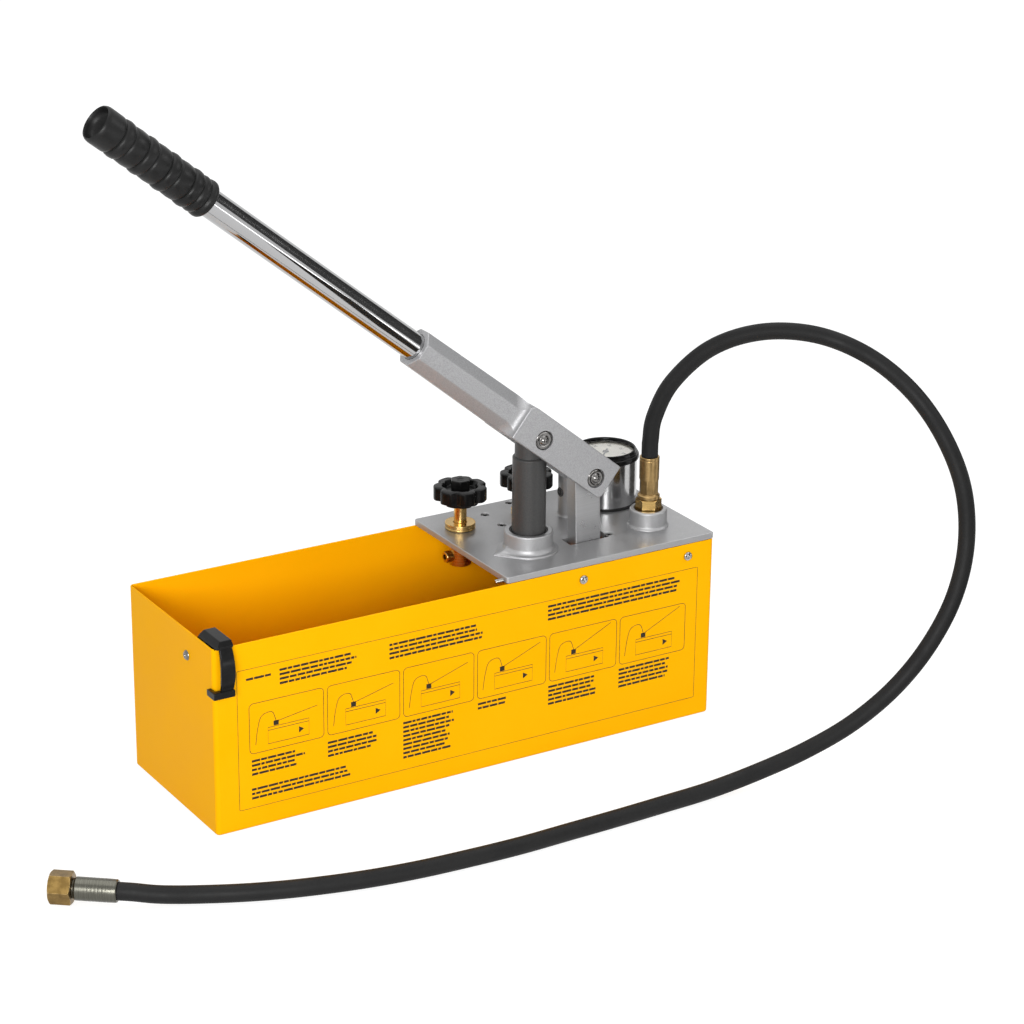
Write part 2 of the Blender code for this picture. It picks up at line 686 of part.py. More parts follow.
def combine(item, other, operation):
    """Boolean one object with another, which stays in the scene as a hidden guide.

    Operands of one kind that follow each other share one modifier, through a collection of their own.
    """
    last = item.modifiers[-1] if item.modifiers else None
    if last is None or last.type != "BOOLEAN" or last.operation != operation:
        group = bpy.data.collections.new(f"{item.name}_{operation.lower()}_{len(item.modifiers)}")
        bpy.context.scene.collection.children.link(group)
        last = item.modifiers.new(operation.title(), "BOOLEAN")
        last.operation = operation
        last.solver = "EXACT"
        last.operand_type = "COLLECTION"
        last.collection = group
    last.collection.objects.link(other)
    bpy.context.scene.collection.objects.unlink(other)
    other.hide_render = True
    other.display_type = "WIRE"
    return item


def cut(item, other):
    return combine(item, other, "DIFFERENCE")


def fuse(item, other):
    return combine(item, other, "UNION")


def drill(item, name, radius, start, end, frame=None):
    """Cut a round hole from one point to another."""
    direction = Vector(end) - Vector(start)
    cutter = turned(name, rod_profile(radius, 0, direction.length), frame=frame)
    place(cutter, start, direction)
    return cut(item, cutter)


def make_frame(name, location, rotation=(0, 0, 0)):
    """An empty that carries pieces on a joint's axis."""
    frame = add_object(name, None)
    frame.location = location
    frame.rotation_euler = rotation
    return frame


def side_screw_places():
    """Name, place on the wall's outer face, and outward direction of each side screw."""
    height = PLATE_BOTTOM - SIDE_SCREW_DROP
    places = []
    for side in (-1, 1):
        for from_end in (SIDE_SCREW_FAR_FROM_END, SIDE_SCREW_NEAR_FROM_END):
            number = len(places) + 1
            point = Vector((PLATE_RIGHT - from_end, side * PLATE_HALF_WIDTH, height))
            places.append((number, point, Vector((0, side, 0))))
    return places


def tank():
    """Open box of sheet metal with round upright corners."""
    half_length = TANK_LENGTH / 2
    half_width = TANK_WIDTH / 2
    corner = TANK_CORNER_RADIUS
    outline = rounded_rectangle(-half_length, half_length, -half_width, half_width, corner)
    box = extruded("tank", outline, 0, TANK_HEIGHT, yellow_paint())
    inner_length = half_length - TANK_WALL
    inner_width = half_width - TANK_WALL
    inside = rounded_rectangle(-inner_length, inner_length, -inner_width, inner_width, corner - TANK_WALL)
    cut(box, extruded("tank_inside", inside, TANK_WALL, TANK_HEIGHT + CUT_OVERRUN))
    for number, point, outward in side_screw_places():
        start = point + outward * CUT_OVERRUN
        end = point - outward * (TANK_WALL + CUT_OVERRUN)
        drill(box, f"tank_screw_hole_{number}", SIDE_SCREW_SHANK_RADIUS + FIT_GAP, start, end)
    start = LATCH_PLACE - Vector((CUT_OVERRUN, 0, 0))
    end = LATCH_PLACE + Vector((TANK_WALL + CUT_OVERRUN, 0, 0))
    drill(box, "tank_rivet_hole", RIVET_SHANK_RADIUS + FIT_GAP, start, end)


def plate_blank():
    """The flat plate and the raised forms cast with it."""
    half = PLATE_HALF_WIDTH
    outline = rounded_rectangle(PLATE_LEFT, PLATE_RIGHT, -half, half, PLATE_CORNER_RADIUS)
    plate = extruded("pump_plate", outline, PLATE_BOTTOM, PLATE_TOP, cast_silver())
    bevel(plate, PLATE_EDGE_BEVEL)
    root = -PLATE_THICKNESS / 2

    fillet_radius = BOSS_RADIUS + BOSS_FILLET
    fillet_height = BOSS_FOOT_HEIGHT + BOSS_FILLET
    profile = [(0, root), (fillet_radius, root), (fillet_radius, BOSS_FOOT_HEIGHT)]
    fillet = arc(fillet_radius, fillet_height, BOSS_FILLET, -math.pi / 2, -math.pi, ARC_STEPS)
    profile += fillet[1:] + [(BOSS_RADIUS, BOSS_HEIGHT - BOSS_RIM_BEVEL)]
    profile += [(BOSS_RADIUS - BOSS_RIM_BEVEL, BOSS_HEIGHT), (0, BOSS_HEIGHT)]
    boss = turned("cylinder_boss", profile)
    place(boss, (CYLINDER_X, LEVER_LINE_Y, PLATE_TOP))
    fuse(plate, boss)

    tangent = math.acos((BOSS_FOOT_RADIUS - BOSS_EAR_TIP_RADIUS) / BOSS_EAR_REACH)
    foot_outline = arc(0, 0, BOSS_FOOT_RADIUS, tangent - math.pi, math.pi - tangent, MEDIUM_SIDES)
    tip = (math.pi - tangent, math.pi + tangent)
    foot_outline += arc(-BOSS_EAR_REACH, 0, BOSS_EAR_TIP_RADIUS, *tip, ARC_STEPS)
    foot = extruded("cylinder_boss_foot", foot_outline, root, BOSS_FOOT_HEIGHT)
    place(foot, (CYLINDER_X, LEVER_LINE_Y, PLATE_TOP))
    fuse(plate, foot)

    fillet_radius = COLUMN_RADIUS + COLUMN_FILLET
    fillet = arc(fillet_radius, COLUMN_FILLET, COLUMN_FILLET, -math.pi / 2, -math.pi, ARC_STEPS)
    profile = [(0, root), (fillet_radius, root), (fillet_radius, 0)] + fillet[1:]
    profile += [(COLUMN_RADIUS, COLUMN_HEIGHT), (0, COLUMN_HEIGHT)]
    column = turned("delivery_column", profile)
    place(column, (COLUMN_X, COLUMN_Y, PLATE_TOP))
    fuse(plate, column)

    foot_radius = OUTLET_BOSS_RADIUS + OUTLET_FOOT_WIDTH
    profile = [(0, root), (foot_radius, root), (foot_radius, OUTLET_FOOT_HEIGHT)]
    profile += [(OUTLET_BOSS_RADIUS, OUTLET_FOOT_HEIGHT), (OUTLET_BOSS_RADIUS, OUTLET_BOSS_HEIGHT)]
    profile += [(0, OUTLET_BOSS_HEIGHT)]
    outlet = turned("outlet_boss", profile)
    place(outlet, (OUTLET_X, OUTLET_Y, PLATE_TOP))
    fuse(plate, outlet)
    return plate


def add_plate_lugs(plate):
    """Cast lugs under the plate for the side screws and the base pin, and the small lug at its corner."""
    middle = PLATE_BOTTOM + PLATE_THICKNESS / 2
    for number, point, outward in side_screw_places():
        near, far = sorted((outward.y * (LUG_INNER_Y + SCREW_LUG_DEPTH), outward.y * LUG_INNER_Y))
        half = SCREW_LUG_WIDTH / 2
        outline = rectangle(point.x - half, point.x + half, near, far)
        fuse(plate, extruded(f"screw_lug_{number}", outline, PLATE_BOTTOM - SCREW_LUG_HEIGHT, middle))

    outline = arc(BASE_PIN_PLACE.x, BASE_PIN_PLACE.z, BASE_LUG_RADIUS, -math.pi, 0, MEDIUM_SIDES // 2)
    outline += [(BASE_PIN_PLACE.x + BASE_LUG_RADIUS, middle), (BASE_PIN_PLACE.x - BASE_LUG_RADIUS, middle)]
    front_low = FRONT_LUG_FACE_Y - BASE_LUG_THICKNESS
    fuse(plate, extruded("base_lug_front", outline, front_low, FRONT_LUG_FACE_Y, plane="XZ"))
    back_high = BACK_LUG_FACE_Y + BASE_LUG_THICKNESS
    fuse(plate, extruded("base_lug_back", outline, BACK_LUG_FACE_Y, back_high, plane="XZ"))

    lug = turned("corner_lug", rod_profile(CORNER_LUG_RADIUS, 0, CORNER_LUG_LENGTH))
    lug_y = CORNER_LUG_INSET - PLATE_HALF_WIDTH
    lug_z = PLATE_BOTTOM + CORNER_LUG_RADIUS / 2
    place(lug, (PLATE_LEFT - CORNER_LUG_OVERHANG, lug_y, lug_z), (1, 0, 0))
    fuse(plate, lug)


def cut_plate_openings(plate):
    """Every hole, recess and slot of the plate."""
    below = PLATE_BOTTOM - CUT_OVERRUN
    above = PLATE_TOP + CUT_OVERRUN
    center = (CYLINDER_X, LEVER_LINE_Y)
    drill(plate, "plate_bore", BORE_RADIUS, (*center, below), (*center, SEAL_TOP))
    recess_floor = SEAL_BOTTOM - FIT_GAP
    boss_over = BOSS_TOP + CUT_OVERRUN
    drill(plate, "seal_recess", SEAL_RECESS_RADIUS, (*center, recess_floor), (*center, boss_over))

    slot = rectangle(BASE_PIN_PLACE.x - LINK_SLOT_LEFT_REACH, BASE_PIN_PLACE.x + LINK_SLOT_RIGHT_REACH,
                     FRONT_LUG_FACE_Y, BACK_LUG_FACE_Y)
    cut(plate, extruded("link_slot", slot, below, above))
    pin_reach = BASE_LUG_THICKNESS + CUT_OVERRUN
    start = (BASE_PIN_PLACE.x, FRONT_LUG_FACE_Y - pin_reach, BASE_PIN_PLACE.z)
    end = (BASE_PIN_PLACE.x, BACK_LUG_FACE_Y + pin_reach, BASE_PIN_PLACE.z)
    drill(plate, "base_pin_holes", BASE_PIN_RADIUS + FIT_GAP, start, end)

    for number, x in ((1, VALVE_1_X), (2, VALVE_2_X)):
        axis = (x, VALVE_Y)
        drill(plate, f"valve_neck_hole_{number}", NECK_HOLE_RADIUS, (*axis, below), (*axis, above))

    stem = (GAUGE_X, GAUGE_Y)
    drill(plate, "gauge_stem_hole", GAUGE_STEM_RADIUS + FIT_GAP, (*stem, below), (*stem, above))

    outlet = (OUTLET_X, OUTLET_Y)
    outlet_over = OUTLET_BOSS_TOP + CUT_OVERRUN
    recess_floor = (*outlet, OUTLET_RECESS_FLOOR)
    drill(plate, "outlet_recess", OUTLET_RECESS_RADIUS, recess_floor, (*outlet, outlet_over))
    spigot_hole = OUTLET_SPIGOT_RADIUS + FIT_GAP
    drill(plate, "outlet_passage", spigot_hole, (*outlet, below), (*outlet, OUTLET_BOSS_TOP))

    column = (COLUMN_X, COLUMN_Y)
    column_over = COLUMN_TOP + CUT_OVERRUN
    drill(plate, "column_bore", COLUMN_BORE_RADIUS, (*column, COLUMN_SEAT_Z), (*column, column_over))
    drill(plate, "column_seat", COLUMN_SEAT_RADIUS, (*column, below), (*column, COLUMN_TOP))
    port_face = COLUMN_X - COLUMN_RADIUS
    port_start = (port_face - CUT_OVERRUN, COLUMN_Y, PORT_Z)
    drill(plate, "column_port", PORT_RADIUS, port_start, (port_face + PORT_DEPTH, COLUMN_Y, PORT_Z))

    for number, point, outward in side_screw_places():
        inner = point - outward * (SIDE_SCREW_LENGTH + CUT_OVERRUN)
        drill(plate, f"lug_hole_{number}", SIDE_SCREW_SHANK_RADIUS + FIT_GAP, point, inner)
    for number, x, y, length in plate_screw_places():
        bottom = PLATE_TOP - PLATE_SCREW_RECESS - length - FIT_GAP
        hole_radius = PLATE_SCREW_RADIUS + FIT_GAP
        drill(plate, f"plate_screw_hole_{number}", hole_radius, (x, y, bottom), (x, y, above))


def plate_screw_places():
    """Number, place and length of each recessed screw: two clamp the block, two are plugs in the plate."""
    clamp_x = PLATE_RIGHT - CLAMP_SCREW_FROM_END
    slot_screw_y = LEVER_LINE_Y - SLOT_SCREW_FROM_LEVER_LINE
    return (
        (1, clamp_x, PLATE_HALF_WIDTH * CLAMP_SCREW_FRONT_Y_SHARE, CLAMP_SCREW_LENGTH),
        (2, clamp_x, PLATE_HALF_WIDTH * CLAMP_SCREW_BACK_Y_SHARE, CLAMP_SCREW_LENGTH),
        (3, PLATE_RIGHT - BACK_SCREW_FROM_END, PLATE_HALF_WIDTH - BACK_SCREW_INSET, PLATE_SCREW_LENGTH),
        (4, PLATE_RIGHT - SLOT_SCREW_FROM_END, slot_screw_y, PLATE_SCREW_LENGTH),
    )


def pump_plate():
    plate = plate_blank()
    add_plate_lugs(plate)
    cut_plate_openings(plate)


def side_screws():
    """Dome-headed screws with a socket, from outside the tank's walls into the plate's lugs."""
    rim_share = 1 / 3
    rim_height = SIDE_SCREW_HEAD_HEIGHT * rim_share
    dome_height = SIDE_SCREW_HEAD_HEIGHT - rim_height
    dome_width = SIDE_SCREW_HEAD_RADIUS - SIDE_SCREW_SOCKET_RADIUS
    profile = [(0, -SIDE_SCREW_LENGTH), (SIDE_SCREW_SHANK_RADIUS, -SIDE_SCREW_LENGTH)]
    profile += [(SIDE_SCREW_SHANK_RADIUS, FIT_GAP), (SIDE_SCREW_HEAD_RADIUS, FIT_GAP)]
    profile += [(SIDE_SCREW_HEAD_RADIUS, rim_height)]
    for step in range(1, ARC_STEPS + 1):
        share = step / ARC_STEPS
        radius = SIDE_SCREW_HEAD_RADIUS - dome_width * share
        profile.append((radius, rim_height + dome_height * math.sin(share * math.pi / 2)))
    socket_floor = SIDE_SCREW_HEAD_HEIGHT - SIDE_SCREW_SOCKET_DEPTH
    profile += [(SIDE_SCREW_SOCKET_RADIUS, socket_floor), (0, socket_floor)]
    for number, point, outward in side_screw_places():
        place(turned(f"side_screw_{number}", profile, bright_steel()), point, outward)


def plate_screws():
    for number, x, y, length in plate_screw_places():
        profile = [(0, -length), (PLATE_SCREW_RADIUS, -length), (PLATE_SCREW_RADIUS, 0)]
        profile += [(PLATE_SCREW_SOCKET_RADIUS, 0), (PLATE_SCREW_SOCKET_RADIUS, -PLATE_SCREW_SOCKET_DEPTH)]
        profile += [(0, -PLATE_SCREW_SOCKET_DEPTH)]
        screw = turned(f"plate_screw_{number}", profile, dark_steel())
        place(screw, (x, y, PLATE_TOP - PLATE_SCREW_RECESS))


def pump_barrel():
    """Barrel under the plate, with its floor, inlet and side port to the block."""
    profile = [(BARREL_INLET_RADIUS, -BARREL_LENGTH), (BARREL_RADIUS, -BARREL_LENGTH), (BARREL_RADIUS, 0)]
    profile += [(BORE_RADIUS, 0), (BORE_RADIUS, BARREL_FLOOR - BARREL_LENGTH)]
    profile += [(BARREL_INLET_RADIUS, BARREL_FLOOR - BARREL_LENGTH)]
    barrel = turned("pump_cylinder", profile, bright_steel(), hollow=True)
    place(barrel, (CYLINDER_X, LEVER_LINE_Y, BLOCK_TOP))
    wall_end = LEVER_LINE_Y + BARREL_RADIUS + CUT_OVERRUN
    port_start = (CYLINDER_X, LEVER_LINE_Y, PASSAGE_Z)
    drill(barrel, "barrel_port", PASSAGE_RADIUS, port_start, (CYLINDER_X, wall_end, PASSAGE_Z))
    seal = turned("rod_seal", tube_profile(SEAL_OUTER_RADIUS, SEAL_INNER_RADIUS, SEAL_BOTTOM, SEAL_TOP),
                  black_rubber(), hollow=True)
    place(seal, (CYLINDER_X, LEVER_LINE_Y, 0))


def piston():
    """Piston with its thinner neck, whose rounded top holds the lever's pin. Its origin is on that pin."""
    bottom = -PISTON_LENGTH_BELOW_PIN
    groove_low = bottom + GUIDE_RING_FROM_END
    groove_high = groove_low + GUIDE_RING_WIDTH + 2 * FIT_GAP
    groove_radius = PISTON_RADIUS - GUIDE_RING_DEPTH
    shoulder = -PISTON_NECK_LENGTH
    profile = [(0, bottom), (PISTON_RADIUS, bottom), (PISTON_RADIUS, groove_low)]
    profile += [(groove_radius, groove_low), (groove_radius, groove_high), (PISTON_RADIUS, groove_high)]
    profile += [(PISTON_RADIUS, shoulder - PISTON_SHOULDER_BEVEL)]
    profile += [(PISTON_RADIUS - PISTON_SHOULDER_BEVEL, shoulder), (PISTON_NECK_RADIUS, shoulder)]
    dome = arc(0, 0, PISTON_NECK_RADIUS, 0, math.pi / 2, 2 * ARC_STEPS)
    profile += dome[:-1] + [(0, PISTON_NECK_RADIUS)]
    rod = turned("piston", profile, dark_steel())
    place(rod, PISTON_PIN_PLACE)
    reach = Vector((0, PISTON_RADIUS + CUT_OVERRUN, 0))
    start = PISTON_PIN_PLACE - reach
    drill(rod, "piston_pin_hole", LEVER_PIN_HOLE_RADIUS, start, PISTON_PIN_PLACE + reach)

    ring_low = groove_low + FIT_GAP
    ring_outer = PISTON_RADIUS + GUIDE_RING_BULGE
    ring_profile = tube_profile(ring_outer, groove_radius + FIT_GAP, ring_low, ring_low + GUIDE_RING_WIDTH)
    ring = turned("piston_guide_ring", ring_profile, black_plastic(), hollow=True)
    place(ring, PISTON_PIN_PLACE)


def lever_arm(frame):
    """Cast clevis with an eight-sided socket. Its frame is on the piston pin, and -X points to the grip."""
    fulcrum_x = PIN_SPACING_ALONG
    fulcrum_z = -PIN_SPACING_ACROSS
    right = fulcrum_x + CLEVIS_PAST_FULCRUM
    left = -CLEVIS_PAST_PISTON_PIN
    low = fulcrum_z - CLEVIS_BELOW_FULCRUM
    web_underside = max(PISTON_NECK_RADIUS, fulcrum_z + EYE_RADIUS) + CLEVIS_EYE_CLEARANCE
    high = web_underside + CLEVIS_WEB_THICKNESS
    outline = [(left, high), (left, low)]
    corner = CLEVIS_CORNER_RADIUS
    outline += arc(right - corner, low + corner, corner, -math.pi / 2, 0, ARC_STEPS)
    outline += [(right, high)]
    arm = extruded("lever_arm", outline, -CLEVIS_HALF_WIDTH, CLEVIS_HALF_WIDTH, cast_silver(), "XZ", frame)
    bevel(arm, CLEVIS_EDGE_BEVEL)
    fuse(arm, lever_socket(frame, left, low, high))

    slot_left = -CLEVIS_SLOT_PAST_PISTON_PIN
    slot = rectangle(slot_left, right + CUT_OVERRUN, low - CUT_OVERRUN, web_underside)
    cut(arm, extruded("clevis_slot", slot, -CLEVIS_HALF_GAP, CLEVIS_HALF_GAP, plane="XZ", frame=frame))
    across = CLEVIS_HALF_WIDTH + CUT_OVERRUN
    recess_floor = PIN_HEAD_RECESS_DEPTH - CLEVIS_HALF_WIDTH
    for name, x, z in (("piston", 0, 0), ("fulcrum", fulcrum_x, fulcrum_z)):
        front = (x, -across, z)
        back = (x, across, z)
        drill(arm, f"clevis_{name}_hole", LEVER_PIN_HOLE_RADIUS, front, back, frame=frame)
        recess = (x, recess_floor, z)
        drill(arm, f"clevis_{name}_recess", PIN_HEAD_RECESS_RADIUS, front, recess, frame=frame)

    axis_z = fulcrum_z + TUBE_AXIS_OVER_FULCRUM
    mouth = (left - SOCKET_LENGTH - CUT_OVERRUN, 0, axis_z)
    tube_start = (left - SOCKET_LENGTH + TUBE_SEAT_DEPTH, 0, axis_z)
    drill(arm, "socket_bore", TUBE_RADIUS + FIT_GAP, tube_start, mouth, frame=frame)


def lever_socket(frame, left, low, high):
    """The socket's skin, which flares in a cove into the clevis's end."""
    axis_z = TUBE_AXIS_OVER_FULCRUM - PIN_SPACING_ACROSS
    octagon_leg_share = (1 - math.tan(math.pi / 8)) / 2
    root_half = SOCKET_ROOT_ACROSS_FLATS / 2
    mouth_half = SOCKET_MOUTH_ACROSS_FLATS / 2

    def section(x, half_width, top, bottom, leg):
        return [(x, half_width, bottom + leg), (x, half_width, top - leg), (x, half_width - leg, top),
                (x, leg - half_width, top), (x, -half_width, top - leg), (x, -half_width, bottom + leg),
                (x, leg - half_width, bottom), (x, half_width - leg, bottom)]

    inset = CLEVIS_EDGE_BEVEL + FIT_GAP
    flare = CLEVIS_HALF_WIDTH - inset - root_half
    root_leg = SOCKET_ROOT_ACROSS_FLATS * octagon_leg_share
    sections = [section(left + SOCKET_ROOT_OVERLAP, root_half + flare, high - inset, low + inset, inset)]
    for step in range(ARC_STEPS + 1):
        angle = math.pi / 2 * step / ARC_STEPS
        blend = 1 - math.sin(angle)
        x = left - SOCKET_COVE_LENGTH * (1 - math.cos(angle))
        top = axis_z + root_half + (high - inset - axis_z - root_half) * blend
        bottom = axis_z - root_half + (low + inset - axis_z + root_half) * blend
        leg = root_leg + (inset - root_leg) * blend
        sections.append(section(x, root_half + flare * blend, top, bottom, leg))
    mouth_x = left - SOCKET_LENGTH
    mouth_leg = SOCKET_MOUTH_ACROSS_FLATS * octagon_leg_share
    rim_x = mouth_x + SOCKET_MOUTH_BEVEL
    sections.append(section(rim_x, mouth_half, axis_z + mouth_half, axis_z - mouth_half, mouth_leg))
    rim_half = mouth_half - SOCKET_MOUTH_BEVEL
    rim_leg = mouth_leg - SOCKET_MOUTH_BEVEL * octagon_leg_share
    sections.append(section(mouth_x, rim_half, axis_z + rim_half, axis_z - rim_half, rim_leg))
    return lofted("lever_socket", sections, frame=frame)


def lever_tube(frame):
    axis_z = TUBE_AXIS_OVER_FULCRUM - PIN_SPACING_ACROSS
    start = -CLEVIS_PAST_PISTON_PIN - SOCKET_LENGTH + TUBE_SEAT_DEPTH - FIT_GAP
    profile = tube_profile(TUBE_RADIUS, TUBE_RADIUS - TUBE_WALL, 0, TUBE_LENGTH)
    tube = turned("lever_tube", profile, chrome(), frame=frame, hollow=True)
    place(tube, (start, 0, axis_z), (-1, 0, 0))

    grip_start = TUBE_LENGTH + FIT_GAP + GRIP_END_THICKNESS - GRIP_LENGTH
    ribbed = grip_profile()
    bore_floor = GRIP_LENGTH - GRIP_END_THICKNESS
    bore_radius = TUBE_RADIUS + FIT_GAP
    inside = [(0, bore_floor), (bore_radius, bore_floor), (bore_radius, 0)]
    grip = turned("grip", inside + ribbed, black_rubber(), MEDIUM_SIDES, frame)
    place(grip, (start - grip_start, 0, axis_z), (-1, 0, 0))


def grip_profile():
    """The grip's outer profile: bands and narrow beads parted by notches, then a plain end with a disc."""
    points = [(GRIP_RADIUS - GRIP_END_ROUND, 0), (GRIP_RADIUS, GRIP_END_ROUND)]
    ribbed_length = GRIP_LENGTH - GRIP_PLAIN_LENGTH
    pitch = ribbed_length / GRIP_BEADS
    notch = GRIP_RADIUS - GRIP_NOTCH_DEPTH
    for bead in range(GRIP_BEADS):
        bead_end = (bead + 1) * pitch
        for edge in (bead_end - GRIP_BEAD_WIDTH, bead_end):
            points += [(GRIP_RADIUS, edge - GRIP_NOTCH_WIDTH), (notch, edge)]
            points += [(GRIP_RADIUS, edge + GRIP_NOTCH_WIDTH)]
    end = GRIP_LENGTH
    points += [(GRIP_RADIUS, end - GRIP_END_ROUND / 2), (GRIP_RADIUS - GRIP_END_ROUND / 2, end)]
    points += [(GRIP_DISC_RADIUS, end), (GRIP_DISC_RADIUS, end - GRIP_DISC_RECESS)]
    points += [(0, end - GRIP_DISC_RECESS)]
    return points


def lever_pins(frame):
    """Pins with domed heads in front and spring clips behind."""
    head_back = PIN_HEAD_RECESS_DEPTH - CLEVIS_HALF_WIDTH - FIT_GAP
    clip_low = CLEVIS_HALF_WIDTH + FIT_GAP
    groove_radius = LEVER_PIN_RADIUS - CLIP_GROOVE_DEPTH
    groove_high = clip_low + CLIP_THICKNESS + FIT_GAP
    pin_end = groove_high + PIN_END_LENGTH
    rim_front = -head_back + PIN_HEAD_THICKNESS
    profile = [(0, -pin_end), (LEVER_PIN_RADIUS, -pin_end), (LEVER_PIN_RADIUS, -groove_high)]
    profile += [(groove_radius, -groove_high), (groove_radius, -clip_low + FIT_GAP)]
    profile += [(LEVER_PIN_RADIUS, -clip_low + FIT_GAP), (LEVER_PIN_RADIUS, -head_back)]
    profile += [(PIN_HEAD_RADIUS, -head_back), (PIN_HEAD_RADIUS, rim_front)]
    for dome_share in PIN_HEAD_DOME_SHARES:
        angle = dome_share * math.pi / 2
        profile.append((PIN_HEAD_RADIUS * math.cos(angle), rim_front + PIN_HEAD_DOME * math.sin(angle)))
    profile.append((0, rim_front + PIN_HEAD_DOME))
    clip_high = clip_low + CLIP_THICKNESS
    mouth_near = clip_low - CUT_OVERRUN
    mouth_far = clip_high + CUT_OVERRUN
    for name, x, z in (("piston_pin", 0, 0), ("fulcrum_pin", PIN_SPACING_ALONG, -PIN_SPACING_ACROSS)):
        place(turned(name, profile, bright_steel(), frame=frame), (x, 0, z), (0, -1, 0))
        ring = tube_profile(CLIP_RADIUS, groove_radius + FIT_GAP, clip_low, clip_high)
        clip = turned(f"{name}_clip", ring, dark_steel(), frame=frame, hollow=True)
        place(clip, (x, 0, z), (0, 1, 0))
        mouth = rectangle(x - CLIP_MOUTH / 2, x + CLIP_MOUTH / 2, z - CLIP_RADIUS - CUT_OVERRUN, z)
        cutter = extruded(f"{name}_clip_mouth", mouth, mouth_near, mouth_far, plane="XZ", frame=frame)
        cut(clip, cutter)


def fulcrum_link(frame):
    """The post between base pin and fulcrum. Its frame is on the fulcrum, and -Z points to its foot."""
    outline = arc(0, 0, EYE_RADIUS, 0, math.pi, MEDIUM_SIDES // 2)
    outline += arc(0, -LINK_LENGTH, EYE_RADIUS, math.pi, 2 * math.pi, MEDIUM_SIDES // 2)
    link = extruded("fulcrum_link", outline, LINK_FRONT_Y, LINK_BACK_Y, cast_silver(), "XZ", frame)
    bevel(link, LINK_EDGE_BEVEL)
    front = LINK_FRONT_Y - CUT_OVERRUN
    back = LINK_BACK_Y + CUT_OVERRUN
    drill(link, "link_eye", LEVER_PIN_HOLE_RADIUS, (0, front, 0), (0, back, 0), frame=frame)
    half_along = BASE_PIN_RADIUS + FOOT_EYE_PLAY_ALONG
    half_up = BASE_PIN_RADIUS + FOOT_EYE_PLAY_UP
    eye = obround(half_along, half_up, -LINK_LENGTH, SMALL_SIDES)
    cut(link, extruded("link_foot_eye", eye, front, back, plane="XZ", frame=frame))

    for name, low, high in (("front_spacer", -CLEVIS_HALF_GAP + FIT_GAP, LINK_FRONT_Y - FIT_GAP),
                            ("rear_spacer", LINK_BACK_Y + FIT_GAP, CLEVIS_HALF_GAP - FIT_GAP)):
        spacer = turned(name, tube_profile(SPACER_RADIUS, LEVER_PIN_HOLE_RADIUS, low, high),
                        bright_steel(), frame=frame, hollow=True)
        place(spacer, (0, 0, 0), (0, 1, 0))


def link_base_pin():
    front = FRONT_LUG_FACE_Y - BASE_LUG_THICKNESS - BASE_PIN_OVERHANG
    back = BACK_LUG_FACE_Y + BASE_LUG_THICKNESS + BASE_PIN_OVERHANG
    pin = turned("link_base_pin", rod_profile(BASE_PIN_RADIUS, 0, back - front), bright_steel())
    place(pin, (BASE_PIN_PLACE.x, front, BASE_PIN_PLACE.z), (0, 1, 0))


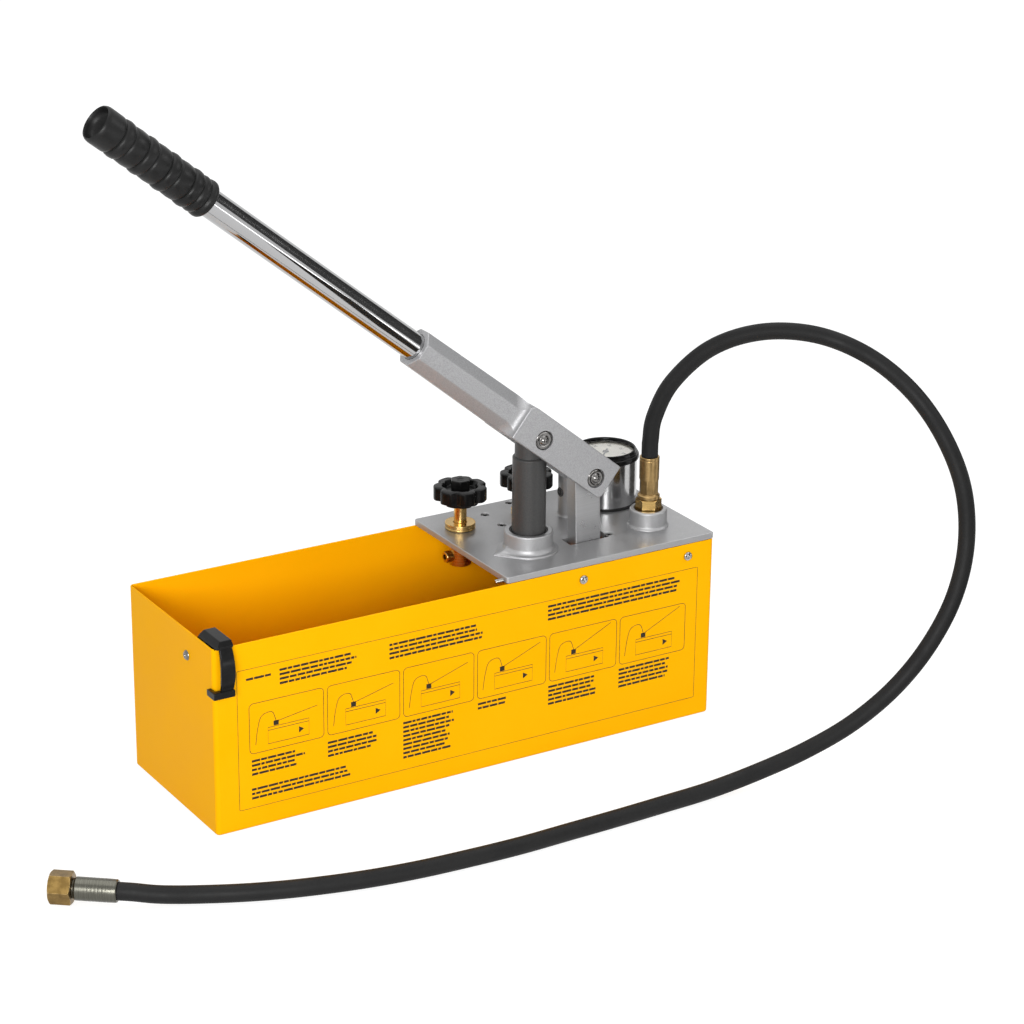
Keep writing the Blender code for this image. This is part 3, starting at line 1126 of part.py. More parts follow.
def manifold_block():
    """Block that joins barrel, valves, column, gauge and outlet, with its drilled passages."""
    outline = rectangle(MANIFOLD_LEFT, MANIFOLD_RIGHT, MANIFOLD_FRONT_Y, MANIFOLD_BACK_Y)
    block = extruded("manifold_block", outline, BLOCK_BOTTOM, BLOCK_TOP, bright_steel())
    arm_half = CYLINDER_ARM_WIDTH / 2
    arm_back = MANIFOLD_FRONT_Y + CUT_OVERRUN
    arm = rectangle(CYLINDER_X - arm_half, CYLINDER_X + arm_half, CYLINDER_ARM_END_Y, arm_back)
    fuse(block, extruded("cylinder_arm", arm, BLOCK_BOTTOM, BLOCK_TOP))
    outlet_half = OUTLET_ARM_WIDTH / 2
    arm_front = OUTLET_Y - OUTLET_ARM_OVERLAP
    arm = rectangle(OUTLET_X - outlet_half, OUTLET_X + outlet_half, arm_front, arm_back)
    fuse(block, extruded("outlet_arm", arm, BLOCK_BOTTOM, BLOCK_TOP))
    boss_start = VALVE_1_X + VALVE_BODY_RADIUS + FIT_GAP
    boss_length = MANIFOLD_LEFT - boss_start + CUT_OVERRUN
    boss = turned("valve_1_boss", rod_profile(MANIFOLD_BOSS_RADIUS, 0, boss_length))
    place(boss, (boss_start, VALVE_Y, PASSAGE_Z), (1, 0, 0))
    fuse(block, boss)

    over = BLOCK_TOP + CUT_OVERRUN
    long_start = (boss_start - CUT_OVERRUN, VALVE_Y, PASSAGE_Z)
    drill(block, "long_passage", PASSAGE_RADIUS, long_start, (OUTLET_X, VALVE_Y, PASSAGE_Z))
    barrel_start = (CYLINDER_X, CYLINDER_ARM_END_Y - CUT_OVERRUN, PASSAGE_Z)
    drill(block, "barrel_passage", PASSAGE_RADIUS, barrel_start, (CYLINDER_X, VALVE_Y, PASSAGE_Z))
    outlet = (OUTLET_X, OUTLET_Y, PASSAGE_Z)
    drill(block, "outlet_cross", PASSAGE_RADIUS, outlet, (OUTLET_X, VALVE_Y, PASSAGE_Z))
    drill(block, "outlet_riser", PASSAGE_RADIUS, outlet, (OUTLET_X, OUTLET_Y, over))
    column = (COLUMN_X, COLUMN_Y, PASSAGE_Z)
    drill(block, "column_riser", COLUMN_SEAT_RADIUS, column, (COLUMN_X, COLUMN_Y, over))
    drill(block, "column_cross", PASSAGE_RADIUS, column, (COLUMN_X, VALVE_Y, PASSAGE_Z))

    valve_2 = (VALVE_2_X, VALVE_Y)
    under = BLOCK_BOTTOM - CUT_OVERRUN
    drill(block, "valve_2_seat", VALVE_BODY_RADIUS + FIT_GAP, (*valve_2, under), (*valve_2, over))
    stem = (GAUGE_X, GAUGE_Y)
    stem_floor = BLOCK_TOP - GAUGE_STEM_DEPTH - FIT_GAP
    drill(block, "stem_seat", GAUGE_STEM_RADIUS + FIT_GAP, (*stem, stem_floor), (*stem, over))
    for number, x, y, length in plate_screw_places():
        if length == CLAMP_SCREW_LENGTH:
            floor = PLATE_TOP - PLATE_SCREW_RECESS - length - FIT_GAP
            hole_radius = PLATE_SCREW_RADIUS + FIT_GAP
            drill(block, f"clamp_hole_{number}", hole_radius, (x, y, floor), (x, y, over))


def valve(number, x):
    """One valve: its body under the plate, the gland disc on it, the spindle and the lobed knob."""
    neck_top = PLATE_TOP + VALVE_NECK_HEIGHT
    bore_floor = VALVE_BODY_BOTTOM + VALVE_BORE_FLOOR
    profile = [(0, VALVE_BODY_BOTTOM), (VALVE_BODY_RADIUS, VALVE_BODY_BOTTOM)]
    profile += [(VALVE_BODY_RADIUS, BLOCK_TOP), (VALVE_NECK_RADIUS, BLOCK_TOP)]
    profile += [(VALVE_NECK_RADIUS, neck_top), (SPINDLE_BORE_RADIUS, neck_top)]
    profile += [(SPINDLE_BORE_RADIUS, bore_floor), (0, bore_floor)]
    body = turned(f"valve_body_{number}", profile, brass())
    place(body, (x, VALVE_Y, 0))
    port_end = (x + VALVE_BODY_RADIUS + CUT_OVERRUN, VALVE_Y, PASSAGE_Z)
    drill(body, f"valve_port_{number}", PASSAGE_RADIUS, (x, VALVE_Y, PASSAGE_Z), port_end)
    if number == 1:
        add_nipple(body, x)
    else:
        start = (x - VALVE_BODY_RADIUS - CUT_OVERRUN, VALVE_Y, PASSAGE_Z)
        drill(body, "valve_2_back_port", PASSAGE_RADIUS, start, (x, VALVE_Y, PASSAGE_Z))

    low = PLATE_TOP + FIT_GAP
    high = low + GLAND_HEIGHT
    gland_profile = [(NECK_HOLE_RADIUS, low), (GLAND_RADIUS, low), (GLAND_RADIUS, high - GLAND_BEVEL)]
    gland_profile += [(GLAND_RADIUS - GLAND_BEVEL, high), (SPINDLE_BORE_RADIUS, high)]
    gland_profile += [(SPINDLE_BORE_RADIUS, neck_top + FIT_GAP), (NECK_HOLE_RADIUS, neck_top + FIT_GAP)]
    place(turned(f"gland_disc_{number}", gland_profile, brass(), hollow=True), (x, VALVE_Y, 0))

    bore_top = KNOB_BOTTOM + KNOB_BORE_DEPTH
    spindle_top = bore_top - FIT_GAP
    taper = SPINDLE_BOTTOM - SPINDLE_TIP_LENGTH
    spindle_profile = [(0, taper), (SPINDLE_TIP_RADIUS, taper), (SPINDLE_RADIUS, SPINDLE_BOTTOM)]
    spindle_profile += [(SPINDLE_RADIUS, spindle_top), (0, spindle_top)]
    place(turned(f"valve_spindle_{number}", spindle_profile, brass()), (x, VALVE_Y, 0))
    valve_knob(number, x)


def add_nipple(body, x):
    """The return nipple that points from the first valve back into the tank."""
    height = BLOCK_TOP - NIPPLE_DROP
    root = (SPINDLE_BORE_RADIUS + VALVE_BODY_RADIUS) / 2
    nipple = turned("nipple", rod_profile(NIPPLE_RADIUS, root, NIPPLE_REACH))
    place(nipple, (x, VALVE_Y, height), (-1, 0, 0))
    fuse(body, nipple)
    mouth = (x - NIPPLE_REACH - CUT_OVERRUN, VALVE_Y, height)
    drill(body, "nipple_bore", PASSAGE_RADIUS, mouth, (x, VALVE_Y, height))


def valve_knob(number, x):
    """Seven-lobed knob: rings of points from its bore, down its hub, over its rim and round its edge."""
    points_per_lobe = 5
    count = KNOB_LOBES * points_per_lobe
    rim_inner = KNOB_RADIUS - KNOB_LOBE_DEPTH - KNOB_EDGE_BEVEL
    low = 0
    high = KNOB_RIM_HEIGHT
    recess_floor = high - KNOB_RECESS_DEPTH
    rows = [(0, 0, KNOB_BORE_DEPTH), (SPINDLE_BORE_RADIUS, 0, KNOB_BORE_DEPTH)]
    rows += [(SPINDLE_BORE_RADIUS, 0, low), (rim_inner, KNOB_LOBE_DEPTH, low)]
    rows += [(KNOB_RADIUS, KNOB_LOBE_DEPTH, low + KNOB_EDGE_BEVEL)]
    rows += [(KNOB_RADIUS, KNOB_LOBE_DEPTH, high - KNOB_EDGE_BEVEL), (rim_inner, KNOB_LOBE_DEPTH, high)]
    rows += [(KNOB_RECESS_RADIUS, 0, high), (KNOB_RECESS_RADIUS, 0, recess_floor)]
    rows += [(KNOB_HUB_RADIUS, 0, recess_floor), (0, 0, recess_floor)]
    shape = bmesh.new()
    rings = []
    for radius, depth, height in rows:
        if radius == 0:
            rings.append([shape.verts.new((0, 0, height))])
            continue
        ring = []
        for step in range(count):
            angle = 2 * math.pi * step / count
            reach = radius - depth * (1 - math.cos(KNOB_LOBES * angle)) / 2
            ring.append(shape.verts.new((reach * math.cos(angle), reach * math.sin(angle), height)))
        rings.append(ring)
    for first, second in zip(rings, rings[1:]):
        bridge(shape, first, second)
    name = f"valve_knob_{number}"
    knob = add_object(name, finish_mesh(shape, name), black_plastic())
    place(knob, (x, VALVE_Y, KNOB_BOTTOM))
    hub_outline = hexagon(2 * KNOB_HUB_RADIUS * math.cos(math.pi / 6))
    hub_low = (KNOB_BORE_DEPTH + recess_floor) / 2
    hub = extruded(f"knob_hub_{number}", hub_outline, hub_low, high + KNOB_HUB_RISE)
    place(hub, (x, VALVE_Y, KNOB_BOTTOM))
    fuse(knob, hub)


def delivery_column_pieces():
    """Cap, ball and port rim of the cast column."""
    cap = extruded("delivery_cap", hexagon(COLUMN_CAP_ACROSS_FLATS), 0, COLUMN_CAP_HEIGHT, bright_steel())
    bevel(cap, COLUMN_CAP_BEVEL)
    place(cap, (COLUMN_X, COLUMN_Y, COLUMN_TOP + FIT_GAP))
    spigot_radius = COLUMN_BORE_RADIUS - FIT_GAP
    spigot = turned("cap_spigot", rod_profile(spigot_radius, -COLUMN_CAP_SPIGOT, COLUMN_CAP_HEIGHT / 2))
    place(spigot, (COLUMN_X, COLUMN_Y, COLUMN_TOP + FIT_GAP))
    fuse(cap, spigot)

    steps = 2 * ARC_STEPS
    ball = arc(0, 0, DELIVERY_BALL_RADIUS, -math.pi / 2, math.pi / 2, steps)
    profile = [(0, -DELIVERY_BALL_RADIUS)] + ball[1:-1] + [(0, DELIVERY_BALL_RADIUS)]
    rest = math.sqrt((DELIVERY_BALL_RADIUS + FIT_GAP) ** 2 - COLUMN_SEAT_RADIUS ** 2)
    place(turned("delivery_ball", profile, bright_steel()), (COLUMN_X, COLUMN_Y, COLUMN_SEAT_Z + rest))

    outer = PORT_RADIUS - FIT_GAP
    plug_profile = [(0, 0), (outer, 0), (outer, PORT_DEPTH), (outer - PORT_RIM_WALL, PORT_DEPTH)]
    plug_profile += [(outer - PORT_RIM_WALL, PORT_DEPTH / 2), (0, PORT_DEPTH / 2)]
    plug = turned("column_plug", plug_profile, dark_steel())
    port_floor = COLUMN_X - COLUMN_RADIUS + PORT_DEPTH
    place(plug, (port_floor - FIT_GAP, COLUMN_Y, PORT_Z), (-1, 0, 0))


def gauge():
    """Gauge with its face up: can, bezel, lens, dial, needle, stem and the ring round its foot."""
    center = (GAUGE_X, GAUGE_Y, 0)
    inside_floor = GAUGE_CAN_BOTTOM + GAUGE_CAN_WALL
    stem_hole = GAUGE_STEM_RADIUS + FIT_GAP
    dial_step = DIAL_BOTTOM - FIT_GAP
    ledge = GAUGE_INNER_RADIUS - GAUGE_CAN_WALL
    profile = [(stem_hole, GAUGE_CAN_BOTTOM), (GAUGE_CAN_RADIUS, GAUGE_CAN_BOTTOM)]
    profile += [(GAUGE_CAN_RADIUS, GAUGE_CAN_TOP), (GAUGE_INNER_RADIUS, GAUGE_CAN_TOP)]
    profile += [(GAUGE_INNER_RADIUS, dial_step), (ledge, dial_step)]
    profile += [(ledge, inside_floor), (stem_hole, inside_floor)]
    place(turned("gauge_case", profile, chrome(), hollow=True), center)

    bezel_bottom = GAUGE_TOP - GAUGE_BEZEL_HEIGHT
    bezel_inner = GAUGE_BEZEL_RADIUS - GAUGE_BEZEL_WALL
    lip_inner = GAUGE_BEZEL_RADIUS - GAUGE_BEZEL_LIP
    lip_bottom = GAUGE_TOP - GAUGE_BEZEL_LIP_THICKNESS
    edge = GAUGE_BEZEL_WALL / 2
    profile = [(bezel_inner, bezel_bottom), (GAUGE_BEZEL_RADIUS, bezel_bottom)]
    profile += [(GAUGE_BEZEL_RADIUS, GAUGE_TOP - edge), (GAUGE_BEZEL_RADIUS - edge, GAUGE_TOP)]
    profile += [(lip_inner, GAUGE_TOP), (lip_inner, lip_bottom), (bezel_inner, lip_bottom)]
    place(turned("gauge_bezel", profile, black_plastic(), hollow=True), center)

    lens_radius = bezel_inner - FIT_GAP
    lens_profile = rod_profile(lens_radius, GAUGE_LENS_BOTTOM, GAUGE_LENS_TOP)
    place(turned("gauge_lens", lens_profile, clear_glass()), center)

    dial_radius = GAUGE_INNER_RADIUS - FIT_GAP
    dial_profile = tube_profile(dial_radius, NEEDLE_AXLE_RADIUS + FIT_GAP, DIAL_BOTTOM, DIAL_TOP)
    place(turned("gauge_dial", dial_profile, dial_cream(), hollow=True), center)

    foot_inner = GAUGE_CAN_RADIUS + FIT_GAP
    foot_profile = tube_profile(foot_inner + GAUGE_FOOT_RING_WALL, foot_inner, GAUGE_CAN_BOTTOM,
                                GAUGE_CAN_BOTTOM + GAUGE_FOOT_RING_HEIGHT)
    place(turned("gauge_foot_ring", foot_profile, black_rubber(), hollow=True), center)

    collar_low = inside_floor + FIT_GAP
    stem_low = BLOCK_TOP - GAUGE_STEM_DEPTH
    collar_high = collar_low + GAUGE_STEM_COLLAR_HEIGHT
    profile = [(PASSAGE_RADIUS, stem_low), (GAUGE_STEM_RADIUS, stem_low), (GAUGE_STEM_RADIUS, collar_low)]
    profile += [(GAUGE_STEM_COLLAR_RADIUS, collar_low), (GAUGE_STEM_COLLAR_RADIUS, collar_high)]
    profile += [(PASSAGE_RADIUS, collar_high)]
    place(turned("gauge_stem", profile, brass(), hollow=True), center)
    gauge_needle()


def gauge_needle():
    """Needle over the dial, on a short axle through the dial's hole."""
    low = DIAL_TOP + FIT_GAP
    high = low + NEEDLE_THICKNESS
    half = NEEDLE_WIDTH / 2
    tip = half * NEEDLE_TIP_SHARE
    outline = [(-NEEDLE_TAIL, -half), (-NEEDLE_TAIL, half), (NEEDLE_LENGTH, tip), (NEEDLE_LENGTH, -tip)]
    needle = extruded("gauge_needle", outline, low, high, black_plastic())
    needle.location = (GAUGE_X, GAUGE_Y, 0)
    needle.rotation_euler = (0, 0, NEEDLE_START)
    hub = turned("needle_hub", rod_profile(NEEDLE_HUB_RADIUS, low, high))
    place(hub, (GAUGE_X, GAUGE_Y, 0))
    fuse(needle, hub)
    axle = turned("needle_axle", rod_profile(NEEDLE_AXLE_RADIUS, low - NEEDLE_AXLE_LENGTH, high))
    place(axle, (GAUGE_X, GAUGE_Y, 0))
    fuse(needle, axle)


def outlet_fitting():
    """Hexagonal nut in the outlet boss's cup, and the ferrule that grips the hose."""
    center = (OUTLET_X, OUTLET_Y, 0)
    corner = OUTLET_NUT_ACROSS_FLATS / 2 / math.cos(math.pi / 6)
    outline = hexagon(OUTLET_NUT_ACROSS_FLATS, OUTLET_NUT_TURN)
    nut = extruded("outlet_nut", outline, OUTLET_NUT_BOTTOM, OUTLET_NUT_TOP, brass())
    place(nut, center)
    spigot_low = OUTLET_NUT_BOTTOM - OUTLET_SPIGOT_LENGTH
    spigot_high = OUTLET_NUT_BOTTOM + OUTLET_NUT_HEIGHT / 2
    spigot = turned("outlet_spigot", rod_profile(OUTLET_SPIGOT_RADIUS, spigot_low, spigot_high))
    place(spigot, center)
    fuse(nut, spigot)
    crown_low = OUTLET_NUT_TOP - OUTLET_NUT_BEVEL
    crown_outer = corner + OUTLET_NUT_BEVEL
    crown_inner = corner - 2 * OUTLET_NUT_BEVEL
    over = OUTLET_NUT_TOP + CUT_OVERRUN
    crown_profile = [(corner, crown_low), (crown_outer, crown_low), (crown_outer, over)]
    crown_profile += [(crown_inner, over), (crown_inner, OUTLET_NUT_TOP)]
    crown = turned("outlet_nut_crown", crown_profile, hollow=True)
    place(crown, center)
    cut(nut, crown)
    under = spigot_low - CUT_OVERRUN
    drill(nut, "outlet_nut_bore", HOSE_BORE_RADIUS, (OUTLET_X, OUTLET_Y, under), (OUTLET_X, OUTLET_Y, over))

    foot_top = FERRULE_BOTTOM + FERRULE_FOOT_LENGTH
    foot_radius = FERRULE_RADIUS + FERRULE_FOOT_FLARE
    profile = [(HOSE_BORE_RADIUS, FERRULE_BOTTOM), (foot_radius, FERRULE_BOTTOM)]
    profile += [(foot_radius, foot_top), (FERRULE_RADIUS, foot_top + FERRULE_FOOT_FLARE)]
    profile += [(FERRULE_RADIUS, FERRULE_TOP), (HOSE_BORE_RADIUS, FERRULE_TOP)]
    place(turned("hose_ferrule", profile, brass(), hollow=True), center)


def suction_side():
    """Foot valve under the barrel, its ball, and the slotted strainer."""
    center = (CYLINDER_X, LEVER_LINE_Y, 0)
    chamber_floor = FOOT_VALVE_TOP - FOOT_VALVE_CHAMBER_DEPTH
    spigot_radius = STRAINER_RADIUS - STRAINER_WALL - FIT_GAP
    spigot_bottom = FOOT_VALVE_BOTTOM - FOOT_VALVE_SPIGOT_LENGTH
    profile = [(FOOT_VALVE_SEAT_RADIUS, spigot_bottom), (spigot_radius, spigot_bottom)]
    profile += [(spigot_radius, FOOT_VALVE_BOTTOM)]
    profile += [(FOOT_VALVE_RADIUS, FOOT_VALVE_BOTTOM), (FOOT_VALVE_RADIUS, FOOT_VALVE_TOP)]
    profile += [(FOOT_VALVE_CHAMBER_RADIUS, FOOT_VALVE_TOP), (FOOT_VALVE_CHAMBER_RADIUS, chamber_floor)]
    profile += [(FOOT_VALVE_SEAT_RADIUS, chamber_floor)]
    place(turned("foot_valve_body", profile, brass(), hollow=True), center)

    steps = 2 * ARC_STEPS
    ball = arc(0, 0, FOOT_VALVE_BALL_RADIUS, -math.pi / 2, math.pi / 2, steps)
    ball_profile = [(0, -FOOT_VALVE_BALL_RADIUS)] + ball[1:-1] + [(0, FOOT_VALVE_BALL_RADIUS)]
    rest = math.sqrt((FOOT_VALVE_BALL_RADIUS + FIT_GAP) ** 2 - FOOT_VALVE_SEAT_RADIUS ** 2)
    ball_place = (CYLINDER_X, LEVER_LINE_Y, chamber_floor + rest)
    place(turned("foot_valve_ball", ball_profile, bright_steel()), ball_place)

    inner = STRAINER_RADIUS - STRAINER_WALL
    floor_top = STRAINER_BOTTOM + STRAINER_WALL
    profile = [(0, STRAINER_BOTTOM), (STRAINER_RADIUS, STRAINER_BOTTOM), (STRAINER_RADIUS, STRAINER_TOP)]
    profile += [(inner, STRAINER_TOP), (inner, floor_top), (0, floor_top)]
    strainer = turned("suction_strainer", profile, bright_steel())
    place(strainer, center)
    slot_low = STRAINER_BOTTOM + STRAINER_SLOT_FROM_BOTTOM
    slot_high = STRAINER_TOP - STRAINER_SLOT_FROM_TOP
    reach = STRAINER_RADIUS + CUT_OVERRUN
    half = STRAINER_SLOT_WIDTH / 2
    for number in range(STRAINER_SLOTS // 2):
        outline = rectangle(-reach, reach, -half, half)
        slot = extruded(f"strainer_slot_{number}", outline, slot_low, slot_high)
        place(slot, center)
        slot.rotation_euler = (0, 0, 2 * math.pi * number / STRAINER_SLOTS)
        cut(strainer, slot)


def lever_latch():
    """Latch hanging open over the front wall at its corner. Its frame is on the end wall's rivet."""
    frame = make_frame("latch_frame", LATCH_PLACE)
    arm_near = TANK_WALL + FIT_GAP
    arm_far = arm_near + LATCH_ARM_THICKNESS
    rim = LATCH_PIVOT_DROP
    front_face = LATCH_PIVOT_Y_FROM_FRONT
    inner_radius = math.hypot(front_face, rim) + LATCH_WALL_CLEARANCE
    outer_radius = inner_radius + LATCH_STRAP_THICKNESS
    bar_low = rim + LATCH_WALL_CLEARANCE + FIT_GAP
    bar_high = bar_low + LATCH_BAR_HEIGHT
    bar_front = -math.sqrt(outer_radius ** 2 - bar_high ** 2)
    bar_back = bar_front + LATCH_BAR_REACH
    strap_front = -math.sqrt(outer_radius ** 2 - bar_low ** 2)
    inside_front = -(front_face - TANK_WALL - LATCH_WALL_CLEARANCE)

    hub = arc(0, 0, LATCH_HUB_RADIUS, math.radians(-150), math.radians(45), 2 * ARC_STEPS)
    outline = hub + [(bar_back + LATCH_BAR_SLOPE, bar_low), (bar_back, bar_high), (bar_front, bar_high)]
    outline += [(strap_front, bar_low), (inside_front, bar_low)]
    outline += [(inside_front / 2 - LATCH_HUB_RADIUS, LATCH_HUB_RADIUS)]
    latch = extruded("lever_latch", outline, arm_near, arm_far, black_plastic(), "YZ", frame)

    strap_near = LATCH_STRAP_SETBACK
    strap_far = strap_near + LATCH_STRAP_WIDTH
    low_angle = math.pi + math.asin(LATCH_LIP_DROP / inner_radius)
    high_angle = math.pi - math.asin(bar_high / outer_radius)
    inner_high_angle = math.pi - math.asin(bar_high / inner_radius)
    strap = arc(0, 0, outer_radius, high_angle, low_angle, 2 * ARC_STEPS)
    strap += arc(0, 0, inner_radius, low_angle, inner_high_angle, 2 * ARC_STEPS)
    fuse(latch, extruded("latch_strap", strap, strap_near, strap_far, plane="YZ", frame=frame))

    lip_high = LATCH_LIP_HEIGHT - LATCH_LIP_DROP
    lip_front = -outer_radius * math.cos(LATCH_LIP_DROP / outer_radius)
    lip_inner = -math.sqrt(inner_radius ** 2 - lip_high ** 2) - FIT_GAP
    lip = rectangle(lip_front, lip_inner, -LATCH_LIP_DROP, lip_high)
    lip_near = -LATCH_LIP_OVERHANG
    fuse(latch, extruded("latch_lip", lip, lip_near, strap_far - FIT_GAP, plane="YZ", frame=frame))
    wrap_low = FIT_GAP - LATCH_LIP_DROP
    wrap = rectangle(lip_front + FIT_GAP, lip_front + LATCH_LIP_WRAP, wrap_low, lip_high - FIT_GAP)
    fuse(latch, extruded("latch_lip_wrap", wrap, lip_near - FIT_GAP, -FIT_GAP, plane="YZ", frame=frame))
    hole_radius = RIVET_SHANK_RADIUS + FIT_GAP
    drill(latch, "latch_rivet_hole", hole_radius, (0, 0, 0), (arm_far + CUT_OVERRUN, 0, 0), frame=frame)
    latch_rivet(arm_far)


def latch_rivet(arm_far):
    inner_head = arm_far + FIT_GAP
    end = inner_head + RIVET_HEAD_HEIGHT
    dome = arc(0, -FIT_GAP, RIVET_HEAD_RADIUS, -math.pi / 2, 0, ARC_STEPS)
    flatten_share = RIVET_HEAD_HEIGHT / RIVET_HEAD_RADIUS
    profile = [(0, -FIT_GAP - RIVET_HEAD_HEIGHT)]
    profile += [(radius, -FIT_GAP + (height + FIT_GAP) * flatten_share) for radius, height in dome[1:]]
    profile += [(RIVET_SHANK_RADIUS, -FIT_GAP), (RIVET_SHANK_RADIUS, inner_head)]
    profile += [(RIVET_HEAD_RADIUS, inner_head), (RIVET_HEAD_RADIUS, end), (0, end)]
    place(turned("latch_rivet", profile, bright_steel()), LATCH_PLACE, (1, 0, 0))


def smooth_route(points, steps):
    """A smooth curve through points, read at many places along it."""
    padded = [2 * points[0] - points[1]] + points + [2 * points[-1] - points[-2]]
    curve = []
    for before, start, end, after in zip(padded, padded[1:], padded[2:], padded[3:]):
        for step in range(steps):
            t = step / steps
            point = 2 * start + (end - before) * t
            point += (2 * before - 5 * start + 4 * end - after) * t ** 2
            point += (3 * start - before - 3 * end + after) * t ** 3
            curve.append(point / 2)
    curve.append(points[-1])
    return curve


def evenly_spaced(curve, step):
    """Points at even distances along a finely divided curve, with both of its ends."""
    lengths = [0]
    for first, second in zip(curve, curve[1:]):
        lengths.append(lengths[-1] + (second - first).length)
    count = max(2, round(lengths[-1] / step))
    points = []
    at = 0
    for number in range(count + 1):
        target = lengths[-1] * number / count
        while at < len(curve) - 2 and lengths[at + 1] < target:
            at += 1
        share = (target - lengths[at]) / (lengths[at + 1] - lengths[at])
        points.append(curve[at].lerp(curve[at + 1], min(1, share)))
    return points


def hose():
    """The free hose as a tube along a smooth curve, straight where it enters its two fittings."""
    outlet_end = Vector((OUTLET_X, OUTLET_Y, FERRULE_TOP + FIT_GAP))
    outlet_straight = outlet_end + Vector((0, 0, HOSE_STRAIGHT_END))
    heading = Vector((math.cos(END_FITTING_HEADING), math.sin(END_FITTING_HEADING), 0))
    fitting_end = Vector((*HOSE_END_PLACE, END_FITTING_Z)) - heading * FIT_GAP
    fitting_straight = fitting_end - heading * HOSE_STRAIGHT_END
    route = [outlet_straight] + [Vector(point) for point in HOSE_ROUTE] + [fitting_straight]
    curve = smooth_route(route, 2 * ARC_STEPS)
    points = [outlet_end] + evenly_spaced(curve, HOSE_POINT_STEP) + [fitting_end]
    data = bpy.data.curves.new("hose", "CURVE")
    data.dimensions = "3D"
    data.bevel_depth = HOSE_RADIUS
    data.bevel_resolution = 3
    data.use_fill_caps = True
    spline = data.splines.new("POLY")
    spline.points.add(len(points) - 1)
    for spline_point, point in zip(spline.points, points):
        spline_point.co = (*point, 1)
    data.materials.append(black_rubber())
    item = bpy.data.objects.new("hose", data)
    bpy.context.scene.collection.objects.link(item)


def hose_end_fitting():
    """Crimped steel ferrule and hexagonal end, lying on one of the hexagon's flats."""
    frame = make_frame("end_fitting_frame", (*HOSE_END_PLACE, END_FITTING_Z), (0, 0, END_FITTING_HEADING))
    profile = tube_profile(END_FERRULE_RADIUS, HOSE_BORE_RADIUS, 0, END_FERRULE_LENGTH)
    place(turned("end_ferrule", profile, bright_steel(), frame=frame, hollow=True), (0, 0, 0), (1, 0, 0))

    nut_low = END_FERRULE_LENGTH + FIT_GAP
    nut_high = nut_low + END_NUT_LENGTH
    nut = extruded("end_nut", hexagon(END_NUT_ACROSS_FLATS), nut_low, nut_high, brass(), "YZ", frame)
    bevel(nut, END_NUT_BEVEL)
    bore_floor = nut_high - END_NUT_BORE_DEPTH
    mouth = (nut_high + CUT_OVERRUN, 0, 0)
    drill(nut, "end_nut_bore", END_NUT_BORE_RADIUS, (bore_floor, 0, 0), mouth, frame=frame)
    inlet = (nut_low - CUT_OVERRUN, 0, 0)
    drill(nut, "end_nut_passage", HOSE_BORE_RADIUS, inlet, (nut_high, 0, 0), frame=frame)


def main():
    clear_scene()
    tank()
    pump_plate()
    side_screws()
    plate_screws()
    pump_barrel()
    piston()
    lever_frame = make_frame("lever_frame", PISTON_PIN_PLACE, (0, LEVER_REST_ANGLE, 0))
    lever_arm(lever_frame)
    lever_tube(lever_frame)
    lever_pins(lever_frame)
    link_frame = make_frame("link_frame", FULCRUM_PLACE, (0, -LINK_LEAN, 0))
    fulcrum_link(link_frame)
    link_base_pin()
    manifold_block()
    valve(1, VALVE_1_X)
    valve(2, VALVE_2_X)
    delivery_column_pieces()
    gauge()
    outlet_fitting()
    suction_side()
    lever_latch()
    hose()
    hose_end_fitting()


main()
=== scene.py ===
"""Looks of a hand-operated hydrostatic test pump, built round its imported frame.

All sizes are in metres. +Z is up, +X points to the pump's end of the tank and +Y to its back. Each piece is
made in a frame of its own, placed where its solid is, and rides on the body that carries it.
"""

import math
import random

import bmesh
import bpy
from mathutils import Matrix, Vector


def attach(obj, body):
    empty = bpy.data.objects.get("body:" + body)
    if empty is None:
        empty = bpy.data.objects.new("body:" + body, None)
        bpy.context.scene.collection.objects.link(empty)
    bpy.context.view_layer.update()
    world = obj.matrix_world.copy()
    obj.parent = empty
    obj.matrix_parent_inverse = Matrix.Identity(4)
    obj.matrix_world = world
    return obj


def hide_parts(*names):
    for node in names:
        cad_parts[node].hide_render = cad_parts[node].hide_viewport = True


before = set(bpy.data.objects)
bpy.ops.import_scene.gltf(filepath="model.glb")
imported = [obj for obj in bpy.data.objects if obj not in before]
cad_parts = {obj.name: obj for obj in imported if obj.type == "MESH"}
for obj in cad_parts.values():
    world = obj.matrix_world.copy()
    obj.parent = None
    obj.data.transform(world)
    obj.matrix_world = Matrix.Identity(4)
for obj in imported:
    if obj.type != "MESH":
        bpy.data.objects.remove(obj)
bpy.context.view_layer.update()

# Camera: where it looks from and to, its turns in degrees, its shift square to the line of sight, its lens
CAMERA_TURN = -31.4904
CAMERA_RISE = 21.1363
CAMERA_ROLL = 0.5925
CAMERA_ASIDE = 0.0740
CAMERA_ABOVE = 0.1320
CAMERA_DISTANCE = 2.8205
CAMERA_TARGET = (-0.0075, -0.019, 0.09)
CAMERA_LENS = 108.84
CAMERA_SENSOR = 36

# Tank
TANK_HALF_LENGTH = 0.2575
TANK_HALF_WIDTH = 0.084
TANK_HEIGHT = 0.176
TANK_WALL = 0.0015
TANK_CORNER = 0.004
TANK_FOLD = 0.0022
WALL_FRONT = -TANK_HALF_WIDTH

# Print on the tank's front: its thickness, its lines' width, and its panels
PRINT_DEPTH = 0.00005
PRINT_LAYERS = (WALL_FRONT + PRINT_DEPTH, WALL_FRONT - PRINT_DEPTH)
PRINT_LINE = 0.0005
PANEL_COUNT = 6
PANEL_FIRST = -0.2248
PANEL_PITCH = 0.0760
PANEL_WIDTH = 0.0727
BAR_PITCH = 0.0042

